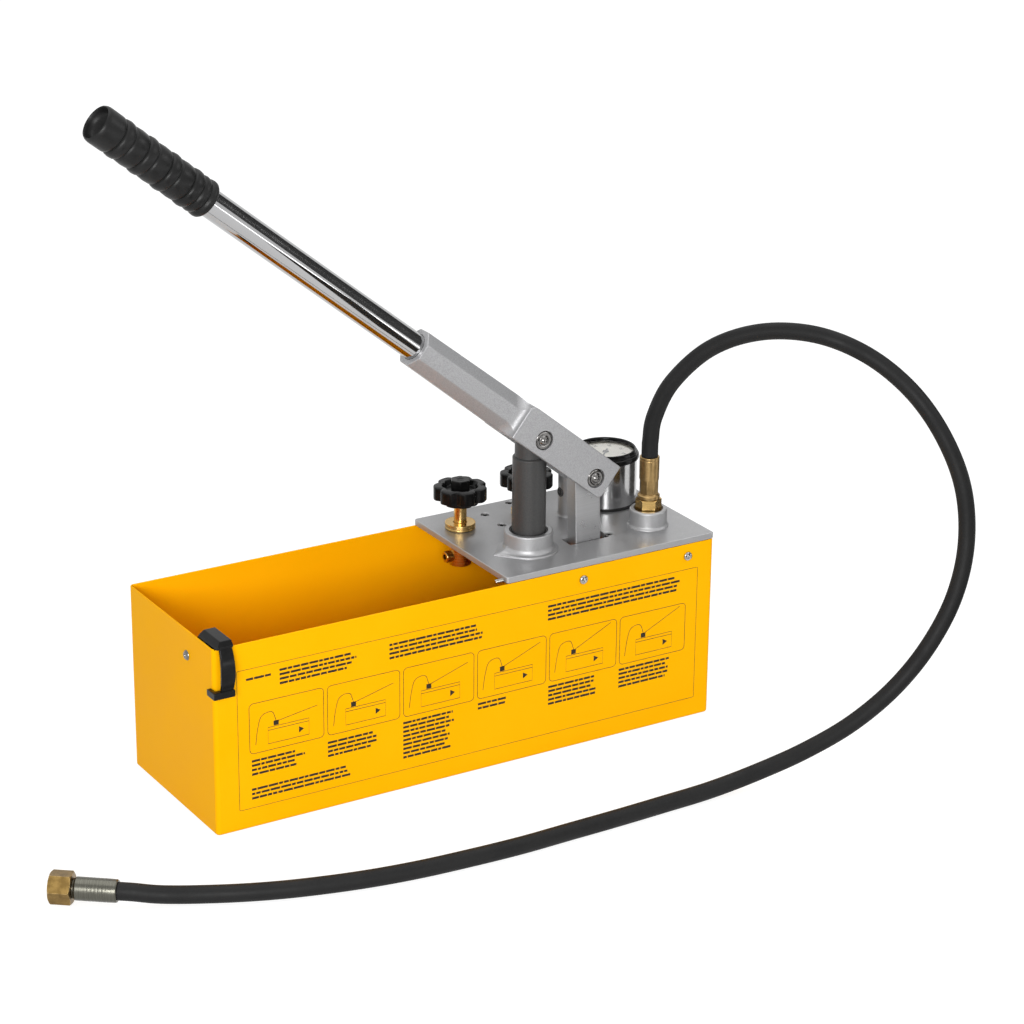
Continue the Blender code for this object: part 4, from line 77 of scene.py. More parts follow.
# Cast plate and what stands on it. Cutters that pass through the plate reach from over it to under it.
PLATE_LEFT = 0.0335
PLATE_RIGHT = 0.2575
PLATE_BOTTOM = 0.1763
PLATE_TOP = 0.1823
PLATE_OVER = 0.184
PLATE_UNDER = 0.174
LUG_TOP = 0.179
LEVER_LINE = -0.033
CYLINDER_PLACE = (0.087, LEVER_LINE, PLATE_TOP)
BARREL_PLACE = (0.087, LEVER_LINE, 0)
COLUMN_PLACE = (0.168, 0.0235, PLATE_TOP)
OUTLET_PLACE = (0.2153, -0.0366, PLATE_TOP)
GAUGE_PLACE = (0.214, 0.0355, 0)
VALVE_PLACES = ((0.0595, 0.043, 0), (0.1312, 0.043, 0))
PLATE_SCREWS = ((0.0969, 0.0302), (0.0969, 0.0607), (0.133, 0.076), (0.1702, -0.0382))
SIDE_SCREW_X = (0.1143, 0.2283)
SIDE_SCREW_Z = 0.1644
PORT_HEIGHT = 0.2058
NIPPLE_HEIGHT = 0.156

# Piston, lever and link
PISTON_PIN = Vector((0.087, LEVER_LINE, 0.2947))
FULCRUM = Vector((0.1427319, LEVER_LINE, 0.2483166))
BASE_PIN = Vector((0.1456012, LEVER_LINE, 0.1559912))
LEVER_ANGLE = math.radians(38.9)
LINK_LEAN = math.radians(1.78)
LINK_LENGTH = 0.09237
PIN_ALONG = 0.0725
PIN_ACROSS = 0.0011
PIN_HOLE = 0.0063
TUBE_AXIS = 0.0029
PISTON_RADIUS = 0.0155
NECK_RADIUS = 0.0135

# The lever's casting: its clevis's ends, underside, top and half width, its cut corners, and its socket
ARM_LEFT = -0.0315
ARM_RIGHT = 0.0897
ARM_LOW = -0.0146
ARM_HIGH = 0.0203
ARM_HALF = 0.025
ARM_INSET = 0.0016
SOCKET_ROOT = 0.018
SOCKET_MOUTH = 0.017
MOUTH_X = ARM_LEFT - 0.1245

# Grip
GRIP_LENGTH = 0.1225
GRIP_RADIUS = 0.017
GRIP_WALL_END = 0.012
GRIP_BORE = 0.0128

# Latch
LATCH_PLACE = Vector((-0.2575, -0.0328, 0.1522))

# Hose, from just over the outlet's ferrule to just before its end fitting
HOSE_RADIUS = 0.00775
HOSE_SIDES = 32
HOSE_EXIT = Vector((0.2153, -0.0366, 0.2504))
HOSE_STRAIGHT = 0.012
HOSE_END = Vector((-0.383, -0.1545, 0.0135))
HOSE_END_HEADING = math.radians(142)
END_NUT_TURN = 36
HOSE_ROUTE = (
    (0.217, -0.040, 0.289), (0.227, -0.053, 0.325), (0.250, -0.079, 0.361), (0.280, -0.113, 0.381),
    (0.313, -0.151, 0.384), (0.344, -0.187, 0.370), (0.370, -0.219, 0.342), (0.389, -0.244, 0.304),
    (0.400, -0.263, 0.259), (0.399, -0.274, 0.210), (0.387, -0.277, 0.162), (0.364, -0.274, 0.118),
    (0.333, -0.267, 0.080), (0.294, -0.258, 0.050), (0.250, -0.248, 0.029), (0.202, -0.241, 0.016),
    (0.153, -0.238, 0.009), (0.103, -0.239, 0.008), (0.053, -0.241, 0.008), (0.003, -0.242, 0.008),
    (-0.047, -0.243, 0.008), (-0.097, -0.241, 0.008), (-0.147, -0.237, 0.008), (-0.196, -0.229, 0.008),
    (-0.246, -0.216, 0.008), (-0.285, -0.202, 0.008), (-0.323, -0.185, 0.0084), (-0.353, -0.172, 0.0104),
)

# How finely round forms are divided, and the angle over which an edge shades sharp
ROUND = 72
FINE_ROUND = 96
SMALL_ROUND = 40
TINY_ROUND = 16
SHARP_ANGLE = math.radians(40)


# Node tools

def feed(tree, node, inputs):
    """Set a node's inputs by name or number, each from a socket or to a plain value."""
    for key, value in inputs.items():
        if isinstance(value, bpy.types.NodeSocket):
            tree.links.new(value, node.inputs[key])
        else:
            node.inputs[key].default_value = (*value, 1) if isinstance(value, tuple) else value


def add_node(tree, kind, inputs=None, **settings):
    """Add a shader node, with settings of the node itself."""
    node = tree.nodes.new(kind)
    for setting, value in settings.items():
        setattr(node, setting, value)
    feed(tree, node, inputs or {})
    return node


def start_group(name, inputs, outputs):
    """A shader node group with float inputs and outputs, what it is given, and its end node."""
    tree = bpy.data.node_groups.new(name, "ShaderNodeTree")
    for label, value in inputs.items():
        socket = tree.interface.new_socket(label, in_out="INPUT", socket_type="NodeSocketFloat")
        socket.default_value = value
    for label in outputs:
        tree.interface.new_socket(label, in_out="OUTPUT", socket_type="NodeSocketFloat")
    return tree, tree.nodes.new("NodeGroupInput").outputs, tree.nodes.new("NodeGroupOutput")


def stepped(tree, source, low, high, to_low=0.0, to_high=1.0, way="SMOOTHSTEP"):
    """Map a value's range to another, held at its ends, and smoothly unless told otherwise."""
    ends = {"Value": source, "From Min": low, "From Max": high, "To Min": to_low, "To Max": to_high}
    return add_node(tree, "ShaderNodeMapRange", ends, interpolation_type=way).outputs["Result"]


def combined(tree, first, second, operation="ADD"):
    """A math node's result on two values."""
    return add_node(tree, "ShaderNodeMath", {0: first, 1: second}, operation=operation).outputs[0]


def blend_colors(tree, factor, first, second):
    """Mix two colours by a mask."""
    return add_node(tree, "ShaderNodeMix", {0: factor, 6: first, 7: second}, data_type="RGBA").outputs[2]


def sized_noise(tree, size, detail=3.0, roughness=0.55, space=None):
    """Noise whose features are about size across, in the piece's own space unless another is given."""
    if space is None:
        space = add_node(tree, "ShaderNodeTexCoord").outputs["Object"]
    scale = combined(tree, 1, size, "DIVIDE")
    inputs = {"Vector": space, "Scale": scale, "Detail": detail, "Roughness": roughness}
    return add_node(tree, "ShaderNodeTexNoise", inputs).outputs["Fac"]


# Effects that several materials share

def grain_effect():
    """Fine grain of a size: a mask for colour and a height for bump."""
    tree, given, out = start_group("fine_grain", {"Size": 0.001, "Contrast": 0.2}, ["Mask", "Height"])
    noise = sized_noise(tree, given["Size"])
    low, high = (combined(tree, 0.5, given["Contrast"], operation) for operation in ("SUBTRACT", "ADD"))
    feed(tree, out, {"Mask": stepped(tree, noise, low, high, way="LINEAR"), "Height": noise})
    return tree


def edge_effect():
    """Mask of edges within a reach, broken up by noise, where a finish rubs off first."""
    tree, given, out = start_group("rubbed_edge", {"Reach": 0.001, "Patches": 0.01}, ["Mask"])
    rounded = add_node(tree, "ShaderNodeBevel", {"Radius": given["Reach"]}, samples=4).outputs["Normal"]
    plain = add_node(tree, "ShaderNodeNewGeometry").outputs["Normal"]
    agree = add_node(tree, "ShaderNodeVectorMath", {0: rounded, 1: plain}, operation="DOT_PRODUCT")
    near_edge = stepped(tree, agree.outputs["Value"], 0.80, 0.99, 1.0, 0.0)
    patches = stepped(tree, sized_noise(tree, given["Patches"]), 0.35, 0.6, 0.35, 1.0)
    feed(tree, out, {"Mask": combined(tree, near_edge, patches, "MULTIPLY")})
    return tree


def smudge_effect():
    """Large soft patches that vary colour and gloss, as handling and thin dust do."""
    tree, given, out = start_group("soft_smudges", {"Size": 0.08, "Low": 0.0, "High": 1.0}, ["Value"])
    noise = sized_noise(tree, given["Size"], 4.0, 0.6)
    feed(tree, out, {"Value": stepped(tree, noise, 0.32, 0.68, given["Low"], given["High"])})
    return tree


def turning_effect():
    """Fine rings round a turned piece's own Z axis: a mask and a height."""
    tree, given, out = start_group("turning_rings", {"Pitch": 0.0004}, ["Mask", "Height"])
    place = add_node(tree, "ShaderNodeTexCoord").outputs["Object"]
    apart = add_node(tree, "ShaderNodeSeparateXYZ", {0: place}).outputs
    shares = {"X": 0.004, "Y": 0.004, "Z": 1.0}
    squashed = {axis: combined(tree, apart[axis], share, "MULTIPLY") for axis, share in shares.items()}
    space = add_node(tree, "ShaderNodeCombineXYZ", squashed).outputs[0]
    noise = sized_noise(tree, given["Pitch"], 2.0, 0.5, space)
    feed(tree, out, {"Mask": stepped(tree, noise, 0.3, 0.7), "Height": noise})
    return tree


EFFECTS = {
    "grain": grain_effect(),
    "edges": edge_effect(),
    "smudges": smudge_effect(),
    "rings": turning_effect(),
}


def effect(tree, kind, *values):
    """The outputs of a shared effect, with values in the order of its inputs."""
    node = add_node(tree, "ShaderNodeGroup", node_tree=EFFECTS[kind])
    for socket, value in zip(node.inputs, values):
        socket.default_value = value
    return node.outputs


# Materials

def grey(level, blue=0.0):
    """A grey that may lean to blue."""
    return level, level, level + blue


def start_material(name, inputs=None):
    """A Principled material, its tree and its shader."""
    material = bpy.data.materials.new(name)
    material.use_nodes = True
    shader = material.node_tree.nodes["Principled BSDF"]
    feed(material.node_tree, shader, inputs or {})
    return material, material.node_tree, shader


def add_bump(tree, shader, height, depth, strength):
    """Feed a height, in depth's metres, to the shader's normal."""
    bump = add_node(tree, "ShaderNodeBump", {"Strength": strength, "Distance": depth, "Height": height})
    feed(tree, shader, {"Normal": bump.outputs["Normal"]})


def surface(name, mask, low, high, gloss, steps=None, worn=None, relief=None, metallic=0.0, specular=0.5):
    """A material that goes from a low to a high colour under a mask.

    mask and gloss are shared effects with their values. gloss gives the roughness, mapped by steps where
    it has them. worn is the reach, patches and colour of rubbed edges. relief is an effect, a depth and a
    strength.
    """
    material, tree, shader = start_material(name)
    color = blend_colors(tree, effect(tree, *mask)[0], low, high)
    if worn:
        reach, patches, rubbed = worn
        color = blend_colors(tree, effect(tree, "edges", reach, patches)[0], color, rubbed)
    roughness = effect(tree, *gloss)[0]
    if steps:
        roughness = stepped(tree, roughness, *steps)
    inputs = {"Base Color": color, "Roughness": roughness}
    feed(tree, shader, {**inputs, "Metallic": metallic, "Specular IOR Level": specular})
    if relief:
        source, depth, strength = relief
        add_bump(tree, shader, effect(tree, *source)["Height"], depth, strength)
    return material


def silver_casting():
    """Polished light-alloy casting of the plate: cloudy and flecked, with its upright walls duller."""
    material, tree, shader = start_material("cast_silver_satin")
    grain = effect(tree, "grain", 0.0007, 0.22)
    flecked = blend_colors(tree, grain["Mask"], grey(0.32, 0.005), grey(0.41, 0.005))
    clouded = blend_colors(tree, effect(tree, "smudges", 0.035, 0.0, 0.6)[0], flecked, grey(0.37, 0.005))
    rubbed = blend_colors(tree, effect(tree, "edges", 0.0009, 0.006)[0], clouded, grey(0.55))
    normal = add_node(tree, "ShaderNodeNewGeometry").outputs["Normal"]
    upright = add_node(tree, "ShaderNodeSeparateXYZ", {0: normal}).outputs["Z"]
    cast_wall = stepped(tree, upright, 0.75, 0.97, 0.14, 0.0)
    gloss = combined(tree, effect(tree, "smudges", 0.03, 0.31, 0.41)[0], cast_wall)
    feed(tree, shader, {"Base Color": rubbed, "Roughness": gloss, "Metallic": 0.75})
    add_bump(tree, shader, grain["Height"], 0.00003, 0.6)
    return material


def hose_rubber():
    """Matt rubber that keeps the print of the cloth wound round it when it was cured."""
    material, tree, shader = start_material("hose_wrapped_rubber")
    lay = add_node(tree, "ShaderNodeUVMap", uv_map="hose_lay").outputs[0]
    weave = {"Vector": lay, "Scale": 420, "Distortion": 1.5}
    cloth = add_node(tree, "ShaderNodeTexWave", weave, wave_type="BANDS", bands_direction="DIAGONAL")
    grain = effect(tree, "grain", 0.0011, 0.25)
    tone = blend_colors(tree, effect(tree, "smudges", 0.03)[0], grey(0.011, 0.0005), grey(0.016))
    color = blend_colors(tree, grain["Mask"], tone, grey(0.015))
    gloss = effect(tree, "smudges", 0.02, 0.46, 0.60)[0]
    feed(tree, shader, {"Base Color": color, "Roughness": gloss, "Specular IOR Level": 0.12})
    woven = combined(tree, combined(tree, cloth.outputs["Fac"], 0.4, "MULTIPLY"), grain["Height"])
    add_bump(tree, shader, woven, 0.00006, 0.6)
    return material


def lens_glass():
    """Clear glass of the gauge, with the faintest waver."""
    glass = {"Base Color": (0.98, 0.99, 0.99), "Transmission Weight": 1, "IOR": 1.45}
    material, tree, shader = start_material("gauge_clear_glass", glass)
    feed(tree, shader, {"Roughness": effect(tree, "smudges", 0.01, 0.0, 0.03)[0]})
    return material


def dull_brass(name, low, high):
    """Duller, browner brass of the hose's fittings, between the low and high colours given; the end nut's
    darker pair is painted shade.
    """
    return surface(
        name, ("smudges", 0.006), low, high, ("rings", 0.0005), (0.0, 1.0, 0.30, 0.40),
        worn=(0.0007, 0.003, (0.56, 0.40, 0.18)), relief=(("rings", 0.0005), 0.00002, 0.4), metallic=1.0,
    )


FINISHES = {
    # Baked paint on sheet steel, with a faint orange peel
    "yellow_paint": surface(
        "tank_yellow_paint", ("smudges", 0.12), (0.92, 0.425, 0.001), (0.94, 0.443, 0.002),
        ("smudges", 0.06, 0.30, 0.38), worn=(0.0009, 0.012, (0.98, 0.54, 0.03)),
        relief=(("grain", 0.0024, 0.2), 0.00003, 0.3), specular=0.02,
    ),
    "cast_silver": silver_casting(),
    # Phosphated steel of the piston and small fittings
    "dark_steel": surface(
        "piston_grey_steel", ("grain", 0.0012, 0.25), grey(0.045), (0.060, 0.059, 0.058),
        ("rings", 0.0005), (0.0, 1.0, 0.40, 0.50), worn=(0.0009, 0.004, grey(0.16)),
        relief=(("rings", 0.0005), 0.00003, 0.6), metallic=0.3, specular=0.3,
    ),
    # Plated steel of screws and caps
    "bright_steel": surface(
        "bright_plated_steel", ("smudges", 0.006), (0.34, 0.335, 0.32), (0.44, 0.435, 0.42),
        ("rings", 0.00035), (0.0, 1.0, 0.16, 0.26),
        relief=(("rings", 0.00035), 0.00002, 0.3), metallic=1.0,
    ),
    # Hard chrome with faint fingermarks
    "chrome": surface(
        "tube_chrome_plate", ("smudges", 0.2), grey(0.39, 0.005), grey(0.43),
        ("smudges", 0.03, 0.03, 0.09), metallic=1.0,
    ),
    # Golden brass with tool rings and duller patches
    "brass": surface(
        "turned_brass", ("smudges", 0.012, 0.2, 0.8), (0.54, 0.35, 0.12), (0.64, 0.43, 0.165),
        ("rings", 0.0004), (0.0, 1.0, 0.20, 0.30), relief=(("rings", 0.0004), 0.00002, 0.3), metallic=1.0,
    ),
    # Moulded plastic, a little greyer where it is handled
    "black_plastic": surface(
        "moulded_black_plastic", ("smudges", 0.012), grey(0.004), grey(0.008),
        ("smudges", 0.01, 0.13, 0.20), worn=(0.0009, 0.004, (0.022, 0.022, 0.023)),
        relief=(("grain", 0.0008, 0.25), 0.00003, 0.5), specular=0.13,
    ),
    # Soft rubber with a fine dry texture
    "black_rubber": surface(
        "grip_black_rubber", ("smudges", 0.02), grey(0.008), grey(0.013), ("smudges", 0.02, 0.30, 0.42),
        worn=(0.0009, 0.004, grey(0.025)), relief=(("grain", 0.0006, 0.25), 0.00004, 0.6), specular=0.16,
    ),
    # Enamel of the gauge's dial
    "dial_cream": surface(
        "dial_cream_enamel", ("grain", 0.0006, 0.3), (0.60, 0.565, 0.49), (0.66, 0.625, 0.55),
        ("smudges", 0.01, 0.42, 0.55), specular=0.4,
    ),
    "clear_glass": lens_glass(),
}

# Sparkling silver lacquer over the lever's rougher casting
LACQUER = surface(
    "lever_silver_lacquer", ("grain", 0.0008, 0.16), grey(0.29, 0.005), grey(0.40, 0.01),
    ("grain", 0.0008, 0.16), (0.2, 0.9, 0.52, 0.36), worn=(0.0009, 0.006, grey(0.58)),
    relief=(("grain", 0.0008, 0.16), 0.00006, 0.7), metallic=0.5,
)
# Brushed light alloy of the post: lengthwise lines over a brighter metal
POST_ALLOY = surface(
    "post_brushed_alloy", ("rings", 0.0005), grey(0.37, 0.005), grey(0.43, 0.005),
    ("smudges", 0.02, 0.26, 0.40), worn=(0.0011, 0.02, grey(0.72)),
    relief=(("rings", 0.0005), 0.00002, 0.3), metallic=0.85,
)
# Dark polished steel of the pins' heads
PIN_STEEL = surface(
    "polished_pin_steel", ("smudges", 0.005), (0.15, 0.145, 0.14), (0.21, 0.205, 0.20),
    ("smudges", 0.004, 0.10, 0.18), metallic=1.0,
)
# Dull plated steel of the hose's end ferrule, drawn lengthwise through the crimping jaws
CRIMPED_STEEL = surface(
    "crimped_plated_steel", ("rings", 0.0006), (0.075, 0.073, 0.060), (0.135, 0.133, 0.113),
    ("smudges", 0.008, 0.24, 0.36), relief=(("rings", 0.0006), 0.00004, 0.5), metallic=1.0,
)
# Bright drawn steel of the gauge's can
GAUGE_STEEL = surface(
    "gauge_drawn_steel", ("grain", 0.002, 0.3), grey(0.40), grey(0.46), ("smudges", 0.012, 0.12, 0.20),
    metallic=1.0,
)
DULL_BRASS = dull_brass("hose_fitting_brass", (0.31, 0.202, 0.085), (0.40, 0.270, 0.118))
# Painted shade: the end nut's brass is a darker copy of the fittings' brass, whose lower colours stand in
# for the shade the nut lies in
PAINTED_SHADE_END_BRASS = dull_brass("end_nut_brass_painted_shade", (0.150, 0.094, 0.030), (0.235, 0.152, 0.050))
HOSE_FINISH = hose_rubber()
# Dark screen-printed ink on the paint and on the dial
INK = surface(
    "dark_print_ink", ("grain", 0.0009, 0.25), (0.012, 0.008, 0.002), (0.026, 0.017, 0.004),
    ("smudges", 0.01, 0.40, 0.55), specular=0.3,
)


# Mesh tools

def turn(degrees, axis):
    """A matrix that turns about an axis."""
    return Matrix.Rotation(math.radians(degrees), 4, axis)


def at(place, direction=None):
    """A matrix that moves to a place and turns +Z to a direction."""
    turned_to = Matrix.Identity(4)
    if direction is not None:
        turned_to = Vector((0, 0, 1)).rotation_difference(Vector(direction)).to_matrix().to_4x4()
    return Matrix.Translation(place) @ turned_to


LEVER_FRAME = Matrix.Translation(PISTON_PIN) @ Matrix.Rotation(LEVER_ANGLE, 4, "Y")
LINK_FRAME = Matrix.Translation(FULCRUM) @ Matrix.Rotation(-LINK_LEAN, 4, "Y")
LATCH_FRAME = Matrix.Translation(LATCH_PLACE)
HOSE_END_FRAME = Matrix.Translation(HOSE_END) @ Matrix.Rotation(HOSE_END_HEADING, 4, "Z")


def polar(radius, angle, *height):
    """A point by its distance and direction from the middle, with its height if it has one."""
    return radius * math.cos(angle), radius * math.sin(angle), *height


def arc(center_a, center_b, radius, start, end, steps):
    """Points on an arc, both ends included, with angles in degrees."""
    points = []
    for step in range(steps + 1):
        across, up = polar(radius, math.radians(start + (end - start) * step / steps))
        points.append((center_a + across, center_b + up))
    return points


def box_outline(low_a, high_a, low_b, high_b):
    return [(low_a, low_b), (high_a, low_b), (high_a, high_b), (low_a, high_b)]


def round_box(low_a, high_a, low_b, high_b, radius, steps=6):
    """A rectangle with round corners."""
    left, right, low, high = low_a + radius, high_a - radius, low_b + radius, high_b - radius
    points = []
    for start, (a, b) in zip((-90, 0, 90, 180), ((right, low), (right, high), (left, high), (left, low))):
        points += arc(a, b, radius, start, start + 90, steps)
    return points


def hexagon(across_flats, start=0.0):
    """The corners of a hexagon about the origin, with its turn in degrees."""
    corner = across_flats / 2 / math.cos(math.pi / 6)
    return [polar(corner, math.radians(start) + 2 * math.pi / 6 * side) for side in range(6)]


def rod(radius, low, high):
    return [(0, low), (radius, low), (radius, high), (0, high)]


def tube(outer, inner, low, high):
    return [(outer, low), (outer, high), (inner, high), (inner, low)]


def softened(profile, radius, closed=False, steps=3):
    """Round an outline's corners. The ends of an open outline stay."""
    points = []
    last = len(profile) - 1
    for number, corner in enumerate(profile):
        corner = Vector(corner)
        if not closed and number in (0, last):
            points.append(corner)
            continue
        before = Vector(profile[number - 1]) - corner
        after = Vector(profile[(number + 1) % len(profile)]) - corner
        reach = min(radius, 0.45 * before.length, 0.45 * after.length)
        if before.angle(after) > math.radians(150):
            points.append(corner)
            continue
        start = corner + before.normalized() * reach
        end = corner + after.normalized() * reach
        for step in range(steps + 1):
            share = step / steps
            points.append((1 - share) ** 2 * start + 2 * share * (1 - share) * corner + share ** 2 * end)
    return [(point[0], point[1]) for point in points]


def bridge(shape, first, second):
    """Join two rings with faces, where either may be a single vertex."""
    count = max(len(first), len(second))
    for step in range(count):
        after = (step + 1) % count
        corners = [first[step % len(first)], first[after % len(first)]]
        corners += [second[after % len(second)], second[step % len(second)]]
        unique = list(dict.fromkeys(corners))
        if len(unique) > 2:
            shape.faces.new(unique)


def skinned(shape, rings):
    """Join a row of rings with faces, and close both ends."""
    for first, second in zip(rings, rings[1:]):
        bridge(shape, first, second)
    shape.faces.new(rings[0])
    shape.faces.new(rings[-1])


def added(name, data):
    """A new object in the scene."""
    item = bpy.data.objects.new(name, data)
    bpy.context.scene.collection.objects.link(item)
    return item


def loose(shape):
    """Turn a bmesh into an object of the scene with faces that point out."""
    bmesh.ops.recalc_face_normals(shape, faces=shape.faces)
    mesh = bpy.data.meshes.new("form")
    shape.to_mesh(mesh)
    shape.free()
    return added("form", mesh)


def turned(profile, sides=ROUND, lobes=None):
    """Turn a profile of (radius, height) about Z. lobes may change a radius by its angle.

    A profile that starts on the axis is a solid's, and any other closes on itself round a hole.
    """
    shape = bmesh.new()
    rings = []
    for radius, height in profile:
        if radius < 1e-7:
            rings.append([shape.verts.new((0, 0, height))])
            continue
        ring = []
        for step in range(sides):
            angle = 2 * math.pi * step / sides
            reach = lobes(radius, angle) if lobes else radius
            ring.append(shape.verts.new(polar(reach, angle, height)))
        rings.append(ring)
    for first, second in zip(rings, rings[1:]):
        bridge(shape, first, second)
    if profile[0][0] > 0:
        bridge(shape, rings[-1], rings[0])
    return loose(shape)


def eased(profile, soft, sides=ROUND, lobes=None):
    """A turned form whose corners are rounded."""
    return turned(softened(profile, soft, profile[0][0] > 0), sides, lobes)


def lofted(sections):
    """Skin a row of like-numbered closed sections, with a face on each end."""
    shape = bmesh.new()
    skinned(shape, [[shape.verts.new(point) for point in section] for section in sections])
    return loose(shape)


def prism(outline, low, high, plane="XY"):
    """Extrude an outline square to its plane."""
    order = {"XY": (0, 1, 2), "XZ": (0, 2, 1), "YZ": (2, 0, 1)}[plane]
    layers = [[(a, b, height) for a, b in outline] for height in (low, high)]
    return lofted([[[point[axis] for axis in order] for point in layer] for layer in layers])


def evaluated_mesh(item):
    """An object's mesh as its modifiers or its text make it."""
    return bpy.data.meshes.new_from_object(item.evaluated_get(bpy.context.evaluated_depsgraph_get()))


def keep_modifiers(item):
    """Make the modifiers' result the object's own mesh."""
    mesh = evaluated_mesh(item)
    item.modifiers.clear()
    item.data = mesh
    return item


def bevelled(item, width, segments=3, angle=30):
    """Round an object's sharp edges."""
    modifier = item.modifiers.new("Bevel", "BEVEL")
    modifier.width = width
    modifier.segments = segments
    modifier.limit_method = "ANGLE"
    modifier.angle_limit = math.radians(angle)
    return keep_modifiers(item)


def weld(item, gap=0.000004):
    """Join points that all but touch and drop the slivers between them, so that flat faces shade flat."""
    shape = bmesh.new()
    shape.from_mesh(item.data)
    bmesh.ops.remove_doubles(shape, verts=shape.verts, dist=gap)
    bmesh.ops.dissolve_degenerate(shape, edges=shape.edges, dist=gap)
    shape.to_mesh(item.data)
    shape.free()


def carved(item, joined=(), removed=()):
    """Fuse objects with an item and cut others out of it. The operands are used up."""
    for operation, operands in (("UNION", joined), ("DIFFERENCE", removed)):
        if not operands:
            continue
        group = bpy.data.collections.new("operands")
        bpy.context.scene.collection.children.link(group)
        for operand in operands:
            group.objects.link(operand)
        modifier = item.modifiers.new(operation, "BOOLEAN")
        modifier.operation = operation
        modifier.solver = "EXACT"
        modifier.operand_type = "COLLECTION"
        modifier.collection = group
    keep_modifiers(item)
    weld(item)
    for operand in (*joined, *removed):
        bpy.data.objects.remove(operand, do_unlink=True)
    return item


def drill(radius, start, end, chamfer=0.0, sides=SMALL_ROUND):
    """A round cutter from one point to another, which flares at its start by the chamfer."""
    way = Vector(end) - Vector(start)
    profile = rod(radius, 0, way.length)
    if chamfer:
        wide = radius + 2 * chamfer
        profile[1:2] = [(wide, 0), (wide, chamfer), (radius, 3 * chamfer)]
    cutter = turned(profile, sides)
    cutter.matrix_world = at(start, way)
    return cutter


def chamfered_nut(across_flats, low, high, chamfer, start=0.0):
    """A hexagonal nut whose corners are turned down to a cone at both ends."""
    corner = across_flats / 2 / math.cos(math.pi / 6)
    nut = prism(hexagon(across_flats, start), low, high)
    slope = chamfer * 1.7
    profile = [(0, low), (corner - slope, low), (corner + 0.00001, low + chamfer)]
    profile += [(corner + 0.00001, high - chamfer), (corner - slope, high), (0, high)]
    cone = turned(profile)
    modifier = nut.modifiers.new("Corners", "BOOLEAN")
    modifier.operation = "INTERSECT"
    modifier.solver = "EXACT"
    modifier.object = cone
    keep_modifiers(nut)
    bpy.data.objects.remove(cone, do_unlink=True)
    return nut


def finish(item, name, slot, body, node=None, place=None, material=None):
    """Name a piece, give it its finish and place, and let it ride on its body for its solid."""
    mesh = item.data
    mesh.materials.clear()
    mesh.materials.append(material or FINISHES[slot])
    for face in mesh.polygons:
        face.material_index = 0
    mesh.shade_smooth()
    mesh.set_sharp_from_angle(angle=SHARP_ANGLE)
    normals = item.modifiers.new("FaceWeight", "WEIGHTED_NORMAL")
    normals.keep_sharp = True
    item.name = name
    if place is not None:
        item.matrix_world = place
    bpy.context.view_layer.update()
    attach(item, body)
    if node:
        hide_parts(node)
    return item


def spin(name, slot, body, node, place, soft, profile, sides=ROUND, material=None):
    """Turn, ease and finish a round piece."""
    return finish(eased(profile, soft, sides), name, slot, body, node, place, material)


# The camera, the floor and the light

def photograph_camera():
    """The camera where the photograph was taken from."""
    yaw, rise, roll = (math.radians(angle) for angle in (CAMERA_TURN, CAMERA_RISE, CAMERA_ROLL))
    back = Vector((math.sin(yaw) * math.cos(rise), -math.cos(yaw) * math.cos(rise), math.sin(rise)))
    right = Vector((math.cos(yaw), math.sin(yaw), 0))
    up = back.cross(right)
    across = math.cos(roll) * right + math.sin(roll) * up
    upward = math.cos(roll) * up - math.sin(roll) * right
    data = bpy.data.cameras.new("photograph_camera")
    data.lens = CAMERA_LENS
    data.sensor_width = CAMERA_SENSOR
    data.clip_end = 200
    camera = added("photograph_camera", data)
    place = Vector(CAMERA_TARGET) + back * CAMERA_DISTANCE + across * CAMERA_ASIDE + upward * CAMERA_ABOVE
    facing = Matrix((across, upward, back)).transposed().to_4x4()
    camera.matrix_world = Matrix.Translation(place) @ facing
    bpy.context.scene.camera = camera


def split_by_ray(tree, lighting, shown, output):
    """Give one shader to the rays that light the object, and another to those that show the background.

    The background is shown to the camera, directly or by way of metal and glass.
    """
    rays = add_node(tree, "ShaderNodeLightPath").outputs
    seen = rays["Is Camera Ray"]
    for kind in ("Is Glossy Ray", "Is Transmission Ray"):
        seen = combined(tree, seen, rays[kind], "MAXIMUM")
    mix = add_node(tree, "ShaderNodeMixShader", {0: seen, 1: lighting.outputs[0], 2: shown.outputs[0]})
    feed(tree, tree.nodes[output], {"Surface": mix.outputs[0]})


def white_world():
    """Plain white round the object, and a softer even light from all sides."""
    world = bpy.data.worlds.new("white_room")
    bpy.context.scene.world = world
    world.use_nodes = True
    tree = world.node_tree
    ambient = tree.nodes["Background"]
    feed(tree, ambient, {"Color": grey(1), "Strength": 0.36})
    white = add_node(tree, "ShaderNodeBackground", {"Color": grey(1), "Strength": 1})
    split_by_ray(tree, ambient, white, "World Output")


def pale_floor():
    """A wide floor that shows white, and keeps the object's soft shadow."""
    floor = prism(box_outline(-30, 30, -30, 30), -0.02, 0)
    floor.name = "studio_floor"
    matt = {"Base Color": grey(0.45), "Roughness": 0.9, "Specular IOR Level": 0.1}
    material, tree, shader = start_material("studio_floor_white", matt)
    glow = add_node(tree, "ShaderNodeEmission", {"Strength": 0.80}).outputs[0]
    shade = add_node(tree, "ShaderNodeBsdfDiffuse", {"Color": grey(0.36)}).outputs[0]
    lit = add_node(tree, "ShaderNodeAddShader", {0: glow, 1: shade})
    split_by_ray(tree, shader, lit, "Material Output")
    floor.data.materials.append(material)


def area_lamp(name, place, target, width, height, power):
    """A soft rectangular lamp that points from a place to a target."""
    data = bpy.data.lights.new(name, "AREA")
    data.shape = "RECTANGLE"
    data.size = width
    data.size_y = height
    data.energy = power
    lamp = added(name, data)
    lamp.location = place
    lamp.visible_camera = False
    lamp.rotation_mode = "QUATERNION"
    lamp.rotation_quaternion = (Vector(target) - Vector(place)).to_track_quat("-Z", "Y")


